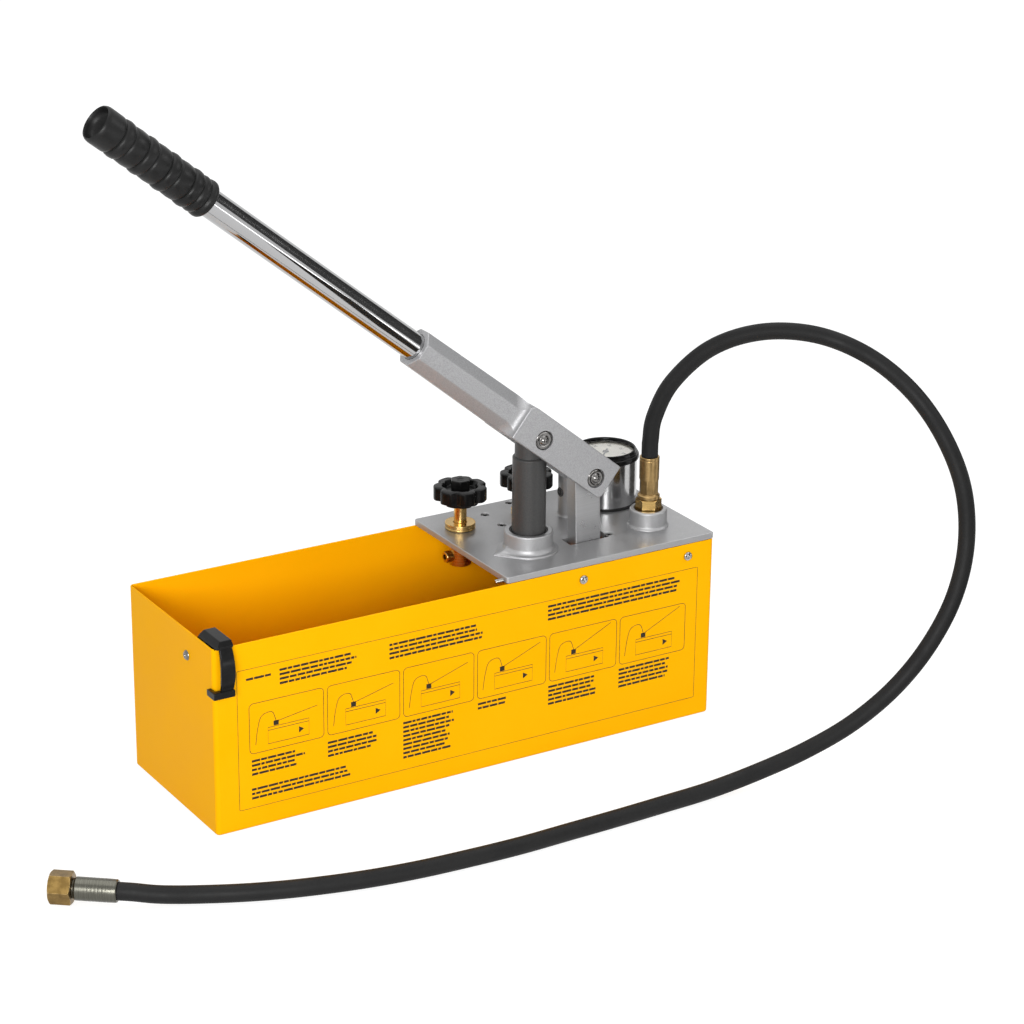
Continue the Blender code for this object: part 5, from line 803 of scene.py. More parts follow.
def studio_lamps():
    area_lamp("key_softbox", (-1.6, -2.15, 0.95), (0, 0, 0.15), 1.6, 0.9, 68)
    area_lamp("side_softbox", (2.0, -1.2, 1.5), (0, 0, 0.2), 0.8, 0.8, 12)
    area_lamp("low_strip", (0.95, -1.35, 0.11), (-0.1, 0, 0.45), 2.2, 0.10, 3)
    data = bpy.data.lights.new("overhead_sky", "SUN")
    data.energy = 1.1
    data.angle = math.radians(60)
    lamp = added("overhead_sky", data)
    lamp.rotation_euler = (math.radians(-12), math.radians(6), 0)


# Each card's place on the floor, lower and upper edge, half width, and heading in degrees
BLACK_CARDS = (
    (1.50, -0.55, 0.35, 1.35, 1.15, -4),
    (0.50, -0.02, 0.00, 0.32, 0.10, 8),
    (0.44, -0.36, 0.00, 0.34, 0.09, -45),
    (0.10, -0.46, 0.00, 0.36, 0.10, -95),
    (-0.34, -0.46, 0.00, 0.40, 0.08, -120),
    (0.36, 0.40, 0.00, 0.34, 0.12, 60),
)


def black_cards():
    """Standing cards that only bright metal and gloss can see: they give them their dark bands."""
    black = {"Base Color": grey(0.10), "Roughness": 1, "Specular IOR Level": 0}
    material = start_material("studio_black_card", black)[0]
    for number, (x, y, low, high, half, heading) in enumerate(BLACK_CARDS, 1):
        card = prism(box_outline(-half, half, low, high), -0.002, 0.002, "XZ")
        card.name = f"studio_black_card_{number}"
        card.matrix_world = at((x, y, 0)) @ turn(heading - 90, "Z")
        card.data.materials.append(material)
        for rays in ("camera", "diffuse", "transmission", "shadow"):
            setattr(card, f"visible_{rays}", False)


# The hose, and the fittings that go with it

def smooth_route(points, steps):
    """A smooth curve through points, read at many places along it."""
    padded = [2 * points[0] - points[1]] + points + [2 * points[-1] - points[-2]]
    curve = []
    for before, start, end, after in zip(padded, padded[1:], padded[2:], padded[3:]):
        for step in range(steps):
            share = step / steps
            point = 2 * start + (end - before) * share
            point += (2 * before - 5 * start + 4 * end - after) * share ** 2
            point += (3 * start - before - 3 * end + after) * share ** 3
            curve.append(point / 2)
    curve.append(points[-1])
    return curve


def hose_route():
    heading = Vector((math.cos(HOSE_END_HEADING), math.sin(HOSE_END_HEADING), 0))
    fitting_end = HOSE_END - heading * 0.0003
    straight_up = HOSE_EXIT + Vector((0, 0, HOSE_STRAIGHT))
    before_fitting = fitting_end - heading * HOSE_STRAIGHT
    route = [straight_up] + [Vector(point) for point in HOSE_ROUTE] + [before_fitting]
    return [HOSE_EXIT] + smooth_route(route, 9) + [fitting_end]


def free_hose(with_pieces):
    """The hose as a tube round its route, with a map of its lay for the cloth's print."""
    route = hose_route()
    shape = bmesh.new()
    lay = shape.loops.layers.uv.new("hose_lay")
    around = 2 * math.pi * HOSE_RADIUS / HOSE_SIDES
    across = Vector((1, 0, 0))
    rings = []
    lengths = [0.0]
    for number, point in enumerate(route):
        before = route[max(0, number - 1)]
        after = route[min(len(route) - 1, number + 1)]
        along = (after - before).normalized()
        across = (across - along * across.dot(along)).normalized()
        other = along.cross(across)
        ring = []
        for side in range(HOSE_SIDES):
            angle = 2 * math.pi * side / HOSE_SIDES
            reach = across * math.cos(angle) + other * math.sin(angle)
            ring.append(shape.verts.new(point + reach * HOSE_RADIUS))
        rings.append(ring)
        if number:
            lengths.append(lengths[-1] + (point - before).length)
    for number, (first, second) in enumerate(zip(rings, rings[1:])):
        for side in range(HOSE_SIDES):
            after = (side + 1) % HOSE_SIDES
            face = shape.faces.new((first[side], first[after], second[after], second[side]))
            for loop, (turns, row) in zip(face.loops, box_outline(side, side + 1, number, number + 1)):
                loop[lay].uv = (turns * around, lengths[row])
    shape.faces.new(rings[0])
    shape.faces.new(rings[-1])
    hose = finish(loose(shape), "free_hose", "black_rubber", "base", "hose", material=HOSE_FINISH)


def hose_end_pieces():
    """Crimped steel ferrule and brass hexagonal end."""
    profile = [(0.0035, 0), (0.0092, 0), (0.0098, 0.0012)]
    for ring in range(6):
        start = 0.0085 + ring * 0.0032
        profile += [(0.0100, start), (0.0099, start + 0.0004)]
        profile += [(0.0099, start + 0.0008), (0.0100, start + 0.0012)]
    profile += [(0.0100, 0.0350), (0.0094, 0.036), (0.0086, 0.0362), (0.0086, 0.0378), (0.0035, 0.0378)]
    place = HOSE_END_FRAME @ at((0, 0, 0), (1, 0, 0))
    ferrule = spin("crimped_end_ferrule", "bright_steel", "base", "end_ferrule", place, 0.0004, profile,
                   material=CRIMPED_STEEL)

    nut = chamfered_nut(0.0253, 0.0380, 0.0572, 0.0012, END_NUT_TURN)
    mouth = drill(0.0095, (0, 0, 0.0600), (0, 0, 0.0448), 0.0004)
    bore = drill(0.0035, (0, 0, 0.0600), (0, 0, 0.03))
    carved(nut, removed=[mouth, bore])
    # The end nut takes the darker brass whose colours are painted shade
    finish(nut, "hose_end_nut", "brass", "base", "end_nut", HOSE_END_FRAME @ turn(90, "Y"), PAINTED_SHADE_END_BRASS)
    return [ferrule, nut]


# The tank and its print

def tank_shell():
    """Folded sheet-steel box: walls with a soft bend at each corner and a rounded rim."""
    fold = TANK_FOLD
    inner_fold = TANK_WALL + fold
    rim = TANK_WALL / 2
    steps = [(fold, 0.0)]
    steps += [(fold - offset, fold - height) for offset, height in arc(0, 0, fold, 90, 0, 5)][1:]
    steps += [(rim - offset, TANK_HEIGHT - rim + height) for offset, height in arc(0, 0, rim, 0, 180, 6)]
    steps += [(inner_fold - offset, inner_fold - height) for offset, height in arc(0, 0, fold, 0, 90, 5)]
    shape = bmesh.new()
    rings = []
    for inset, height in steps:
        length = TANK_HALF_LENGTH - inset
        width = TANK_HALF_WIDTH - inset
        outline = round_box(-length, length, -width, width, max(0.0004, TANK_CORNER - inset), 8)
        rings.append([shape.verts.new((a, b, height)) for a, b in outline])
    skinned(shape, rings)
    finish(loose(shape), "tank_shell", "yellow_paint", "base", "tank")


def patch(shape, outline):
    """Add a thin printed patch on the front wall, with a back just inside it."""
    skinned(shape, [[shape.verts.new((a, layer, b)) for a, b in outline] for layer in PRINT_LAYERS])


def line_patch(shape, start, end):
    """A printed straight line."""
    start, end = Vector(start), Vector(end)
    way = end - start
    side = Vector((-way.y, way.x)).normalized() * PRINT_LINE / 2
    patch(shape, [start - side, end - side, end + side, start + side])


def loop_patch(shape, outline, width=PRINT_LINE):
    """A printed closed line along an outline."""
    center = sum((Vector(point) for point in outline), Vector((0, 0))) / len(outline)
    rings = []
    for layer in PRINT_LAYERS:
        for share in (0, 1):
            ring = []
            for number, point in enumerate(outline):
                before = Vector(outline[number - 1])
                after = Vector(outline[(number + 1) % len(outline)])
                along = (after - before).normalized()
                inward = Vector((-along.y, along.x))
                if inward.dot(center - Vector(point)) < 0:
                    inward = -inward
                moved = Vector(point) + inward * width * share
                ring.append(shape.verts.new((moved.x, layer, moved.y)))
            rings.append(ring)
    for first, second in ((0, 1), (1, 3), (3, 2), (2, 0)):
        bridge(shape, rings[first], rings[second])


# Where small print stands on the front: left, right, top and number of rows
PRINT_BLOCKS = (
    (-0.2268, -0.1975, 0.1430, 1),
    (-0.1946, -0.1190, 0.1453, 4),
    (-0.0866, 0.0117, 0.1448, 4),
    (0.0770, 0.2254, 0.1468, 4),
    (-0.2230, -0.1704, 0.0650, 4),
    (-0.1487, -0.0942, 0.0650, 4),
    (-0.0730, -0.0185, 0.0662, 9),
    (0.0040, 0.0342, 0.0670, 2),
    (0.0785, 0.1363, 0.0670, 5),
    (0.1550, 0.2140, 0.0670, 5),
    (-0.2235, -0.1200, 0.0380, 3),
)

# How high the lever ends over the box in each panel's sketch
SKETCH_RISES = (0.004, 0.008, 0.011, 0.014, 0.017, 0.020)


def front_print():
    """The front's printed frame: panels with a plain sketch in each, and rows of plain bars."""
    shape = bmesh.new()
    loop_patch(shape, round_box(-0.2358, 0.2403, 0.0190, 0.1514, 0.0015, 3), 0.0004)
    for panel in range(PANEL_COUNT):
        left = PANEL_FIRST + panel * PANEL_PITCH
        loop_patch(shape, round_box(left, left + PANEL_WIDTH, 0.0705, 0.1182, 0.0042, 5))
        panel_sketch(shape, left, SKETCH_RISES[panel])
    random.seed(11)
    for left, right, top, rows in PRINT_BLOCKS:
        for row in range(rows):
            bar_row(shape, left, right, top - row * BAR_PITCH)
    finish(loose(shape), "front_print", "yellow_paint", "base", material=INK)


def bar_row(shape, left, right, top):
    """A row of plain bars of unlike lengths, in the place of small print."""
    x = left
    end = right - random.uniform(0, 0.012)
    while x < end - 0.001:
        length = min(random.uniform(0.003, 0.010), end - x)
        patch(shape, box_outline(x, x + length, top - 0.0024, top - 0.0002))
        x += length + 0.0009


def panel_sketch(shape, left, rise):
    """A plain line sketch of a box with a hose, an arrow and a lever over it."""
    low = 0.0765
    top = low + 0.016
    box_left = left + 0.018
    box_right = left + 0.058
    head = left + 0.026
    loop_patch(shape, box_outline(box_left, box_right, low, top))
    line_patch(shape, (box_left, top - 0.003), (box_right, top - 0.003))
    patch(shape, box_outline(head - 0.0025, head + 0.0025, top + 0.0004, top + 0.0050))
    line_patch(shape, (head, top + 0.004), (left + 0.066, min(top + 0.006 + rise, 0.1155)))
    hose = [(head, top + 0.005), (head - 0.004, top + 0.014), (left + 0.012, top + 0.012)]
    hose += [(left + 0.008, top), (left + 0.006, low + 0.002)]
    curve = smooth_route([Vector(point) for point in hose], 4)
    for first, second in zip(curve, curve[1:]):
        line_patch(shape, first, second)
    arrow = Vector((left + 0.048, top - 0.009))
    patch(shape, [arrow + Vector(tip) for tip in ((0, -0.003), (0.005, 0), (0, 0.003))])


# The cast plate and its screws

# The boss's foot: radius of its round part, reach of its point, and height
BOSS_FOOT = (
    (0.0275, 0.0366, -0.0030),
    (0.0275, 0.0366, 0.0007),
    (0.0273, 0.0362, 0.0013),
    (0.0265, 0.0348, 0.0018),
    (0.0248, 0.0318, 0.0021),
    (0.0237, 0.0285, 0.0028),
    (0.0230, 0.0256, 0.0042),
    (0.0227, 0.0240, 0.0058),
    (0.0215, 0.0217, 0.0080),
)

# Cast on the plate: the cylinder's boss, the outlet's boss and the column, each with its place and softness
CAST_FORMS = (
    (CYLINDER_PLACE, 0.0009, [(0, -0.002), (0.0225, -0.002), (0.0225, 0.0175),
                              (0.0218, 0.019), (0, 0.019)]),
    (OUTLET_PLACE, 0.0009, [(0, -0.003), (0.0193, -0.003), (0.0193, 0.0008), (0.0184, 0.0015),
                            (0.0177, 0.0026), (0.0175, 0.0158), (0.0163, 0.017), (0, 0.017)]),
    (COLUMN_PLACE, 0.0008, [(0, -0.003), (0.0140, -0.003), (0.0140, 0.0001), (0.0126, 0.0006),
                            (0.0120, 0.0024), (0.0120, 0.0470), (0.0112, 0.048), (0, 0.048)]),
)


def drop_outline(radius, reach, height):
    """A round outline drawn out to a point at -X."""
    contact = math.acos(radius / reach)
    outline = []
    for step in range(ROUND):
        angle = 2 * math.pi * step / ROUND
        off = abs(angle - math.pi)
        away = radius / math.cos(contact - off) if off < contact else radius
        outline.append(polar(away, angle, height))
    return outline


def cast_form(place, soft, profile):
    form = eased(profile, soft)
    form.matrix_world = at(place)
    return form


def plate_casting():
    """The plate with everything cast in one with it, its slot and its holes."""
    outline = round_box(PLATE_LEFT, PLATE_RIGHT, -TANK_HALF_WIDTH, TANK_HALF_WIDTH, 0.003)
    plate = bevelled(prism(outline, PLATE_BOTTOM, PLATE_TOP), 0.0009)
    foot = lofted([drop_outline(*section) for section in BOSS_FOOT])
    foot.matrix_world = at(CYLINDER_PLACE)
    boss, outlet, column = (cast_form(*form) for form in CAST_FORMS)
    joined = [boss, foot, outlet, column, *plate_lugs()]

    x, y = CYLINDER_PLACE[:2]
    removed = [drill(0.0162, (x, y, 0.170), (x, y, 0.2005), sides=ROUND)]
    removed.append(drill(0.0180, (x, y, 0.2033), (x, y, 0.1897), 0.0004, ROUND))
    slot = round_box(BASE_PIN.x - 0.0206, BASE_PIN.x + 0.0224, -0.045, -0.028, 0.001, 2)
    removed.append(prism(slot, PLATE_UNDER, PLATE_OVER))
    for place, radius in zip((*VALVE_PLACES, GAUGE_PLACE), (0.008, 0.008, 0.0068)):
        x, y = place[:2]
        removed.append(drill(radius, (x, y, PLATE_OVER), (x, y, PLATE_UNDER)))
    x, y = OUTLET_PLACE[:2]
    removed.append(drill(0.0140, (x, y, 0.2015), (x, y, 0.1941), 0.0005, ROUND))
    removed.append(drill(0.0083, (x, y, 0.1960), (x, y, PLATE_UNDER)))
    x, y = COLUMN_PLACE[:2]
    removed.append(drill(0.0048, (x - 0.0145, y, PORT_HEIGHT), (x - 0.0084, y, PORT_HEIGHT)))
    for x, y in PLATE_SCREWS:
        removed.append(drill(0.0040, (x, y, PLATE_TOP + 0.0006), (x, y, 0.1776), 0.0004))
    start = Vector((BASE_PIN.x, -0.056, BASE_PIN.z))
    removed.append(drill(0.0048, start, start + Vector((0, 0.040, 0))))
    carved(plate, joined, removed)
    finish(plate, "plate_casting", "cast_silver", "base", "pump_plate")
    corner_screw()


def plate_lugs():
    """Lugs under the plate for the side screws, and ears for the base pin."""
    lugs = []
    for x in SIDE_SCREW_X:
        for near, far in ((-0.0822, -0.0682), (0.0682, 0.0822)):
            outline = round_box(x - 0.010, x + 0.010, near, far, 0.002, 3)
            lugs.append(bevelled(prism(outline, 0.154, LUG_TOP), 0.0008))
    ear = arc(BASE_PIN.x, BASE_PIN.z, 0.012, -180, 0, 24)
    ear += [(BASE_PIN.x + 0.012, LUG_TOP), (BASE_PIN.x - 0.012, LUG_TOP)]
    for low, high in ((-0.052, -0.045), (-0.028, -0.021)):
        lugs.append(bevelled(prism(ear, low, high, "XZ"), 0.0006, 2))
    return lugs


def corner_screw():
    """End of the threaded pin that stands out under the plate's front corner."""
    profile = [(0, 0), (0.0017, 0), (0.0022, 0.0006)]
    for thread in range(9):
        start = 0.0010 + thread * 0.0008
        profile += [(0.0022, start), (0.00185, start + 0.0004)]
    profile += [(0.0022, 0.0084), (0.0022, 0.018), (0, 0.018)]
    place = at((0.0255, -0.0765, 0.1774), (1, 0, 0))
    finish(turned(profile, SMALL_ROUND), "corner_screw_end", "bright_steel", "base", place=place)


def button_screws():
    """Domed screws with a hexagonal socket round a pin, through the tank's long walls."""
    profile = [(0, 0.0030)]
    for angle in (1.35, 1.1, 0.85, 0.6, 0.35, 0.12):
        profile.append((0.0043 * math.cos(angle), 0.0008 + 0.0021 * math.sin(angle)))
    profile += [(0.0043, 0.0003), (0.0024, 0.0003), (0.0024, -0.012), (0, -0.012)]
    number = 0
    for side in (-1, 1):
        for x in SIDE_SCREW_X:
            number += 1
            screw = turned(profile, SMALL_ROUND)
            carved(screw, removed=[prism(hexagon(0.0026), 0.0013, 0.0050)])
            carved(screw, joined=[eased(rod(0.0006, 0.0010, 0.0022), 0.0002, TINY_ROUND)])
            place = at((x, side * TANK_HALF_WIDTH, SIDE_SCREW_Z), (0, side, 0))
            finish(screw, f"button_screw_{number}", "bright_steel", "base", f"side_screw_{number}", place)


def recessed_screws():
    """Small socket screws sunk in the plate. The two that clamp the block are longer."""
    for number, (x, y) in enumerate(PLATE_SCREWS, 1):
        length = 0.014 if number < 3 else 0.003
        screw = eased([(0, -length), (0.0027, -length), (0.0027, 0), (0, 0)], 0.0004, SMALL_ROUND)
        carved(screw, removed=[prism(hexagon(0.0037, 15), -0.0025, 0.001)])
        node = f"plate_screw_{number}"
        place = at((x, y, PLATE_TOP - 0.0009))
        finish(screw, f"sunk_screw_{number}", "dark_steel", "base", node, place, PIN_STEEL)


# The pump: piston, lever and link

def piston_rod():
    """Dark piston with its thinner rounded neck."""
    low = -0.1247
    profile = [(0, low), (PISTON_RADIUS, low), (PISTON_RADIUS, -0.1217), (0.0142, -0.1217)]
    profile += [(0.0142, -0.1175), (PISTON_RADIUS, -0.1175), (PISTON_RADIUS, -0.0229), (0.0143, -0.0217)]
    profile = softened(profile + [(NECK_RADIUS, -0.0217), (NECK_RADIUS, 0)], 0.0005)[:-1]
    profile += arc(0, 0, NECK_RADIUS, 0, 90, 14)[:-1] + [(0, NECK_RADIUS)]
    finish(turned(profile), "piston_rod", "dark_steel", "plunger", "piston", at(PISTON_PIN))


# On the cylinder's axis: name, slot, the solid it stands for, and profile
BARREL_PIECES = (
    ("pump_barrel", "bright_steel", "pump_cylinder",
     [(0.004, 0.100), (0.021, 0.100), (0.021, 0.176), (0.0162, 0.176), (0.0162, 0.106), (0.004, 0.106)]),
    ("piston_seal", "black_rubber", "rod_seal",
     [(0.0177, 0.190), (0.0177, 0.2008), (0.0158, 0.2008), (0.0158, 0.190)]),
    ("foot_valve", "brass", "foot_valve_body",
     [(0.004, 0.0662), (0.0139, 0.0662), (0.0139, 0.0742), (0.015, 0.0742),
      (0.015, 0.0997), (0.0075, 0.0997), (0.0075, 0.0837), (0.004, 0.0837)]),
)


def barrel_and_seal():
    """Barrel under the plate, the seal in the boss's mouth, and the suction side below."""
    for name, slot, node, profile in BARREL_PIECES:
        spin(name, slot, "base", node, at(BARREL_PLACE), 0.0005, profile)
    profile = [(0, 0.012), (0.01575, 0.012), (0.01575, 0.0739)]
    profile += [(0.01425, 0.0739), (0.01425, 0.0135), (0, 0.0135)]
    strainer = eased(profile, 0.0004)
    removed = []
    for slot in range(4):
        cutter = prism(round_box(-0.002, 0.002, 0.018, 0.054, 0.0019, 4), -0.02, 0.02, "XZ")
        cutter.matrix_world = turn(45 * slot, "Z")
        removed.append(cutter)
    carved(strainer, removed=removed)
    finish(strainer, "slotted_strainer", "bright_steel", "base", "suction_strainer", at(BARREL_PLACE))


def octagon(x, half, top, bottom, leg, soft):
    """One section of the lever's socket: a box with its corners cut off and then eased."""
    outline = [(half, bottom + leg), (half, top - leg), (half - leg, top), (leg - half, top)]
    outline += [(-half, top - leg), (-half, bottom + leg), (leg - half, bottom), (half - leg, bottom)]
    return [(x, y, z) for y, z in softened(outline, soft, closed=True)]


def lever_socket():
    """The eight-sided socket: it flares from the clevis's box and narrows to its mouth."""
    share = (1 - math.tan(math.pi / 8)) / 2
    high, low, half = ARM_HIGH - ARM_INSET, ARM_LOW + ARM_INSET, ARM_HALF - ARM_INSET
    sections = [octagon(ARM_LEFT + 0.004, half, high, low, ARM_INSET, 0.0006)]
    for step in range(13):
        angle = math.pi / 2 * step / 12
        flare = 1 - math.sin(angle)
        x = ARM_LEFT - 0.010 * (1 - math.cos(angle))
        top = TUBE_AXIS + SOCKET_ROOT + (high - TUBE_AXIS - SOCKET_ROOT) * flare
        bottom = TUBE_AXIS - SOCKET_ROOT + (low - TUBE_AXIS + SOCKET_ROOT) * flare
        leg = 2 * SOCKET_ROOT * share * (1 - flare) + ARM_INSET * flare
        sections.append(octagon(x, SOCKET_ROOT + (half - SOCKET_ROOT) * flare, top, bottom, leg, 0.0010))
    for back, less in ((0.0016, 0), (0.0005, 0.0004), (0, 0.0013)):
        end = SOCKET_MOUTH - less
        top, bottom = TUBE_AXIS + end, TUBE_AXIS - end
        sections.append(octagon(MOUTH_X + back, end, top, bottom, 2 * end * share, 0.0010))
    return lofted(sections)


def lever_casting():
    """Clevis and socket in one casting, with its slot, pin holes and head recesses."""
    outline = arc(ARM_LEFT + 0.007, ARM_HIGH - 0.007, 0.007, 90, 180, 8) + [(ARM_LEFT, ARM_LOW)]
    outline += arc(ARM_RIGHT - 0.005, ARM_LOW + 0.005, 0.005, -90, 0, 8) + [(ARM_RIGHT, ARM_HIGH)]
    arm = bevelled(prism(outline, -ARM_HALF, ARM_HALF, "XZ"), 0.0012, 4)
    slot = round_box(-0.0205, ARM_RIGHT + 0.01, ARM_LOW - 0.01, 0.0141, 0.001, 2)
    removed = [prism(slot, -0.016, 0.016, "XZ")]
    for x, z in ((0, 0), (PIN_ALONG, -PIN_ACROSS)):
        removed.append(drill(PIN_HOLE, (x, 0.027, z), (x, -0.024, z), 0.0004))
        removed.append(drill(0.0093, (x, -0.0268, z), (x, -0.0222, z), 0.0004, ROUND))
    mouth = (MOUTH_X - 0.002, 0, TUBE_AXIS)
    removed.append(drill(0.0128, mouth, (ARM_LEFT - 0.045, 0, TUBE_AXIS), 0.0006, ROUND))
    carved(arm, [lever_socket()], removed)
    finish(arm, "lever_casting", "cast_silver", "lever", "lever_arm", LEVER_FRAME, LACQUER)


def grip_profile():
    """The grip's outside: collar, bands that bulge a little, thin beads between them, and a cupped end."""
    radius, length = GRIP_RADIUS, GRIP_LENGTH
    profile = [(0.0138, 0), (0.0158, 0.0004), (0.0167, 0.0016), (radius, 0.0032), (0.0168, 0.0055)]
    profile.append((0.0152, 0.0072))
    end = 0.0072
    for broad in (0.0085, 0.0150, 0.0150, 0.0150):
        for width, reach in ((broad, radius - 0.0003), (0.0103, radius + 0.0002)):
            middle = end + width / 2
            profile += [(reach - 0.0011, end + 0.0008), (reach - 0.0004, end + 0.0022), (reach, middle)]
            end += width
            profile += [(reach - 0.0004, end - 0.0022), (reach - 0.0012, end - 0.0007)]
            profile.append((radius - 0.0022, end))
    for inward, height in ((0.0012, 0.0010), (0.0005, 0.0022), (0.0003, 0.0040)):
        profile.append((radius - inward, end + height))
    for inward, short in ((0.0002, 0.0046), (0.0006, 0.0020), (0.0014, 0.0004)):
        profile.append((radius - inward, length - short))
    profile += [(0.0150, length), (0.0143, length - 0.0006), (0.0138, length - 0.0030)]
    profile += [(0.0132, length - 0.0062), (0.0110, length - 0.0082), (0.0060, length - 0.0088)]
    return profile + [(0, length - 0.0090)]


def lever_tube_and_grip():
    """Chromed tube, and the grip pushed over its end."""
    place = LEVER_FRAME @ at((-0.0768, 0, TUBE_AXIS), (-1, 0, 0))
    profile = tube(0.0125, 0.01075, 0, 0.440)
    spin("chromed_tube", "chrome", "lever", "lever_tube", place, 0.0004, profile, FINE_ROUND)
    bore = GRIP_LENGTH - GRIP_WALL_END
    inside = [(0, bore), (GRIP_BORE, bore), (GRIP_BORE, 0)]
    grip = turned(inside + grip_profile(), FINE_ROUND)
    place = place @ Matrix.Translation((0, 0, 0.4403 + GRIP_WALL_END - GRIP_LENGTH))
    finish(grip, "ribbed_grip", "black_rubber", "lever", "grip", place)


def lever_pins():
    """Pins with a domed, polished head in a recess, and spring clips behind."""
    profile = [(0, -0.0285), (0.006, -0.0285), (0.006, -0.0268), (0.0049, -0.0268), (0.0049, -0.0250)]
    profile += [(0.006, -0.0250), (0.006, 0.0225), (0.0087, 0.0225), (0.0087, 0.0238), (0.0080, 0.0246)]
    profile += [(0.0066, 0.0249), (0.0054, 0.0246), (0.0046, 0.0247), (0.0040, 0.0256), (0.0030, 0.0269)]
    profile += [(0.0016, 0.0275), (0, 0.0276)]
    for name, x, z, notch in (("piston_pin", 0, 0, 205), ("fulcrum_pin", PIN_ALONG, -PIN_ACROSS, 325)):
        pin = eased(profile, 0.0003)
        cutter = prism(box_outline(0.0056, 0.0100, -0.0012, 0.0012), 0.0238, 0.030)
        cutter.matrix_world = turn(notch, "Z")
        hollow = turned([(0, 0.0268), (0.0007, 0.0270), (0.0010, 0.0280), (0, 0.0280)], 20)
        carved(pin, removed=[cutter, hollow])
        middle = LEVER_FRAME @ Matrix.Translation((x, 0, z))
        finish(pin, f"{name}_domed", "bright_steel", "lever", name, middle @ turn(90, "X"), PIN_STEEL)
        clip = eased(tube(0.0085, 0.0052, 0.0253, 0.0265), 0.0002)
        carved(clip, removed=[prism(box_outline(-0.0035, 0.0035, -0.0120, 0), 0.024, 0.028)])
        finish(clip, f"{name}_spring_clip", "dark_steel", "lever", f"{name}_clip", middle @ turn(-90, "X"))


def fulcrum_post():
    """The rectangular link between the lever and the plate, its spacers and its base pin."""
    radius = 0.0135
    outline = arc(0, 0, radius, 0, 180, 24) + arc(0, -LINK_LENGTH, radius, 180, 360, 24)
    link = bevelled(prism(outline, -0.011, 0.004, "XZ"), 0.0011)
    eye = arc(0.0025, -LINK_LENGTH, 0.007, -90, 90, 10) + arc(-0.0025, -LINK_LENGTH, 0.007, 90, 270, 10)
    removed = [drill(PIN_HOLE, (0, -0.013, 0), (0, 0.006, 0), 0.0004), prism(eye, -0.013, 0.006, "XZ")]
    carved(link, removed=removed)
    finish(link, "fulcrum_post", "cast_silver", "link", "fulcrum_link", LINK_FRAME, POST_ALLOY)
    for name, low, high in (("front_spacer", -0.0157, -0.0113), ("rear_spacer", 0.0043, 0.0157)):
        profile = tube(0.009, PIN_HOLE, low, high)
        spin(f"{name}_ring", "bright_steel", "link", name, LINK_FRAME @ turn(-90, "X"), 0.0003, profile)
    place = at((BASE_PIN.x, -0.054, BASE_PIN.z), (0, 1, 0))
    profile = rod(0.0045, 0, 0.035)
    spin("base_pin", "bright_steel", "base", "link_base_pin", place, 0.0006, profile, SMALL_ROUND)


# Valves, column, gauge and outlet

VALVE_BODY = [(0, 0.147), (0.0105, 0.147), (0.0105, 0.176), (0.0077, 0.176), (0.0077, 0.1868),
              (0.0063, 0.1868), (0.0063, 0.152), (0, 0.152)]
NIPPLE = [(0, 0.0084), (0.0055, 0.0084), (0.0055, 0.0150), (0.0048, 0.0165), (0, 0.0165)]
GLAND = [(0.008, 0.1826), (0.01425, 0.1826), (0.01425, 0.1844), (0.01390, 0.1847), (0.01425, 0.1850),
         (0.01425, 0.1886), (0.0063, 0.1886), (0.0063, 0.1871), (0.008, 0.1871)]
SPINDLE = [(0, 0.154), (0.002, 0.154), (0.006, 0.158), (0.006, 0.2200), (0, 0.2200)]
KNOB = [(0, 0.009), (0.0063, 0.009), (0.0063, -0.0044), (0.0163, -0.0044), (0.0172, 0.0000),
        (0.0192, 0.0000), (0.0250, 0.0004), (0.0250, 0.0122), (0.0230, 0.0133), (0.0165, 0.0133),
        (0.0150, 0.0100), (0.0142, 0.0085), (0.0098, 0.0080), (0, 0.0080)]
KNOB_HEIGHT = 0.2115
KNOB_SIDES = 168
LOBES = 7


def valves():
    """Each valve: body and nipple under the plate, gland disc, spindle and knob."""
    for number, place in enumerate(VALVE_PLACES, 1):
        matrix = at(place)
        carried = f"valve_{number}"
        body = eased(VALVE_BODY, 0.0006)
        if number == 1:
            nipple = eased(NIPPLE, 0.0004, SMALL_ROUND)
            nipple.matrix_world = at((0, 0, NIPPLE_HEIGHT), (-1, 0, 0))
            carved(body, [nipple], [drill(0.0028, (-0.0180, 0, NIPPLE_HEIGHT), (0, 0, NIPPLE_HEIGHT))])
        finish(body, f"valve_{number}_body", "brass", "base", f"valve_body_{number}", matrix)
        spin(f"gland_{number}", "brass", "base", f"gland_disc_{number}", matrix, 0.0006, GLAND)
        spindle = f"valve_spindle_{number}"
        spin(f"spindle_{number}", "brass", carried, spindle, matrix, 0.0004, SPINDLE, SMALL_ROUND)
        knob_place = at((place[0], place[1], KNOB_HEIGHT))
        knob = f"valve_knob_{number}"
        finish(lobed_knob(), f"lobed_knob_{number}", "black_plastic", carried, knob, knob_place)


def lobed_knob():
    """Knob with round lobes and a sunk ring round its six-sided hub."""
    def lobes(radius, angle):
        notch = ((1 - math.cos(LOBES * angle)) / 2) ** 3.4
        if radius > 0.0193:
            return radius - 0.0040 * min(1, (radius - 0.0193) / 0.003) * notch
        if radius > 0.0140:
            return radius + 0.0012 * (0.5 - notch)
        return radius

    knob = turned(softened(KNOB, 0.0009, steps=4), KNOB_SIDES, lobes)
    hub = bevelled(prism(softened(hexagon(0.0170), 0.0018, closed=True), 0.0070, 0.0190), 0.0010)
    dish = [(0, 0.0182), (0.0030, 0.0184), (0.0052, 0.0192), (0.0056, 0.0200), (0, 0.0200)]
    return carved(knob, [hub], [turned(dish, SMALL_ROUND)])


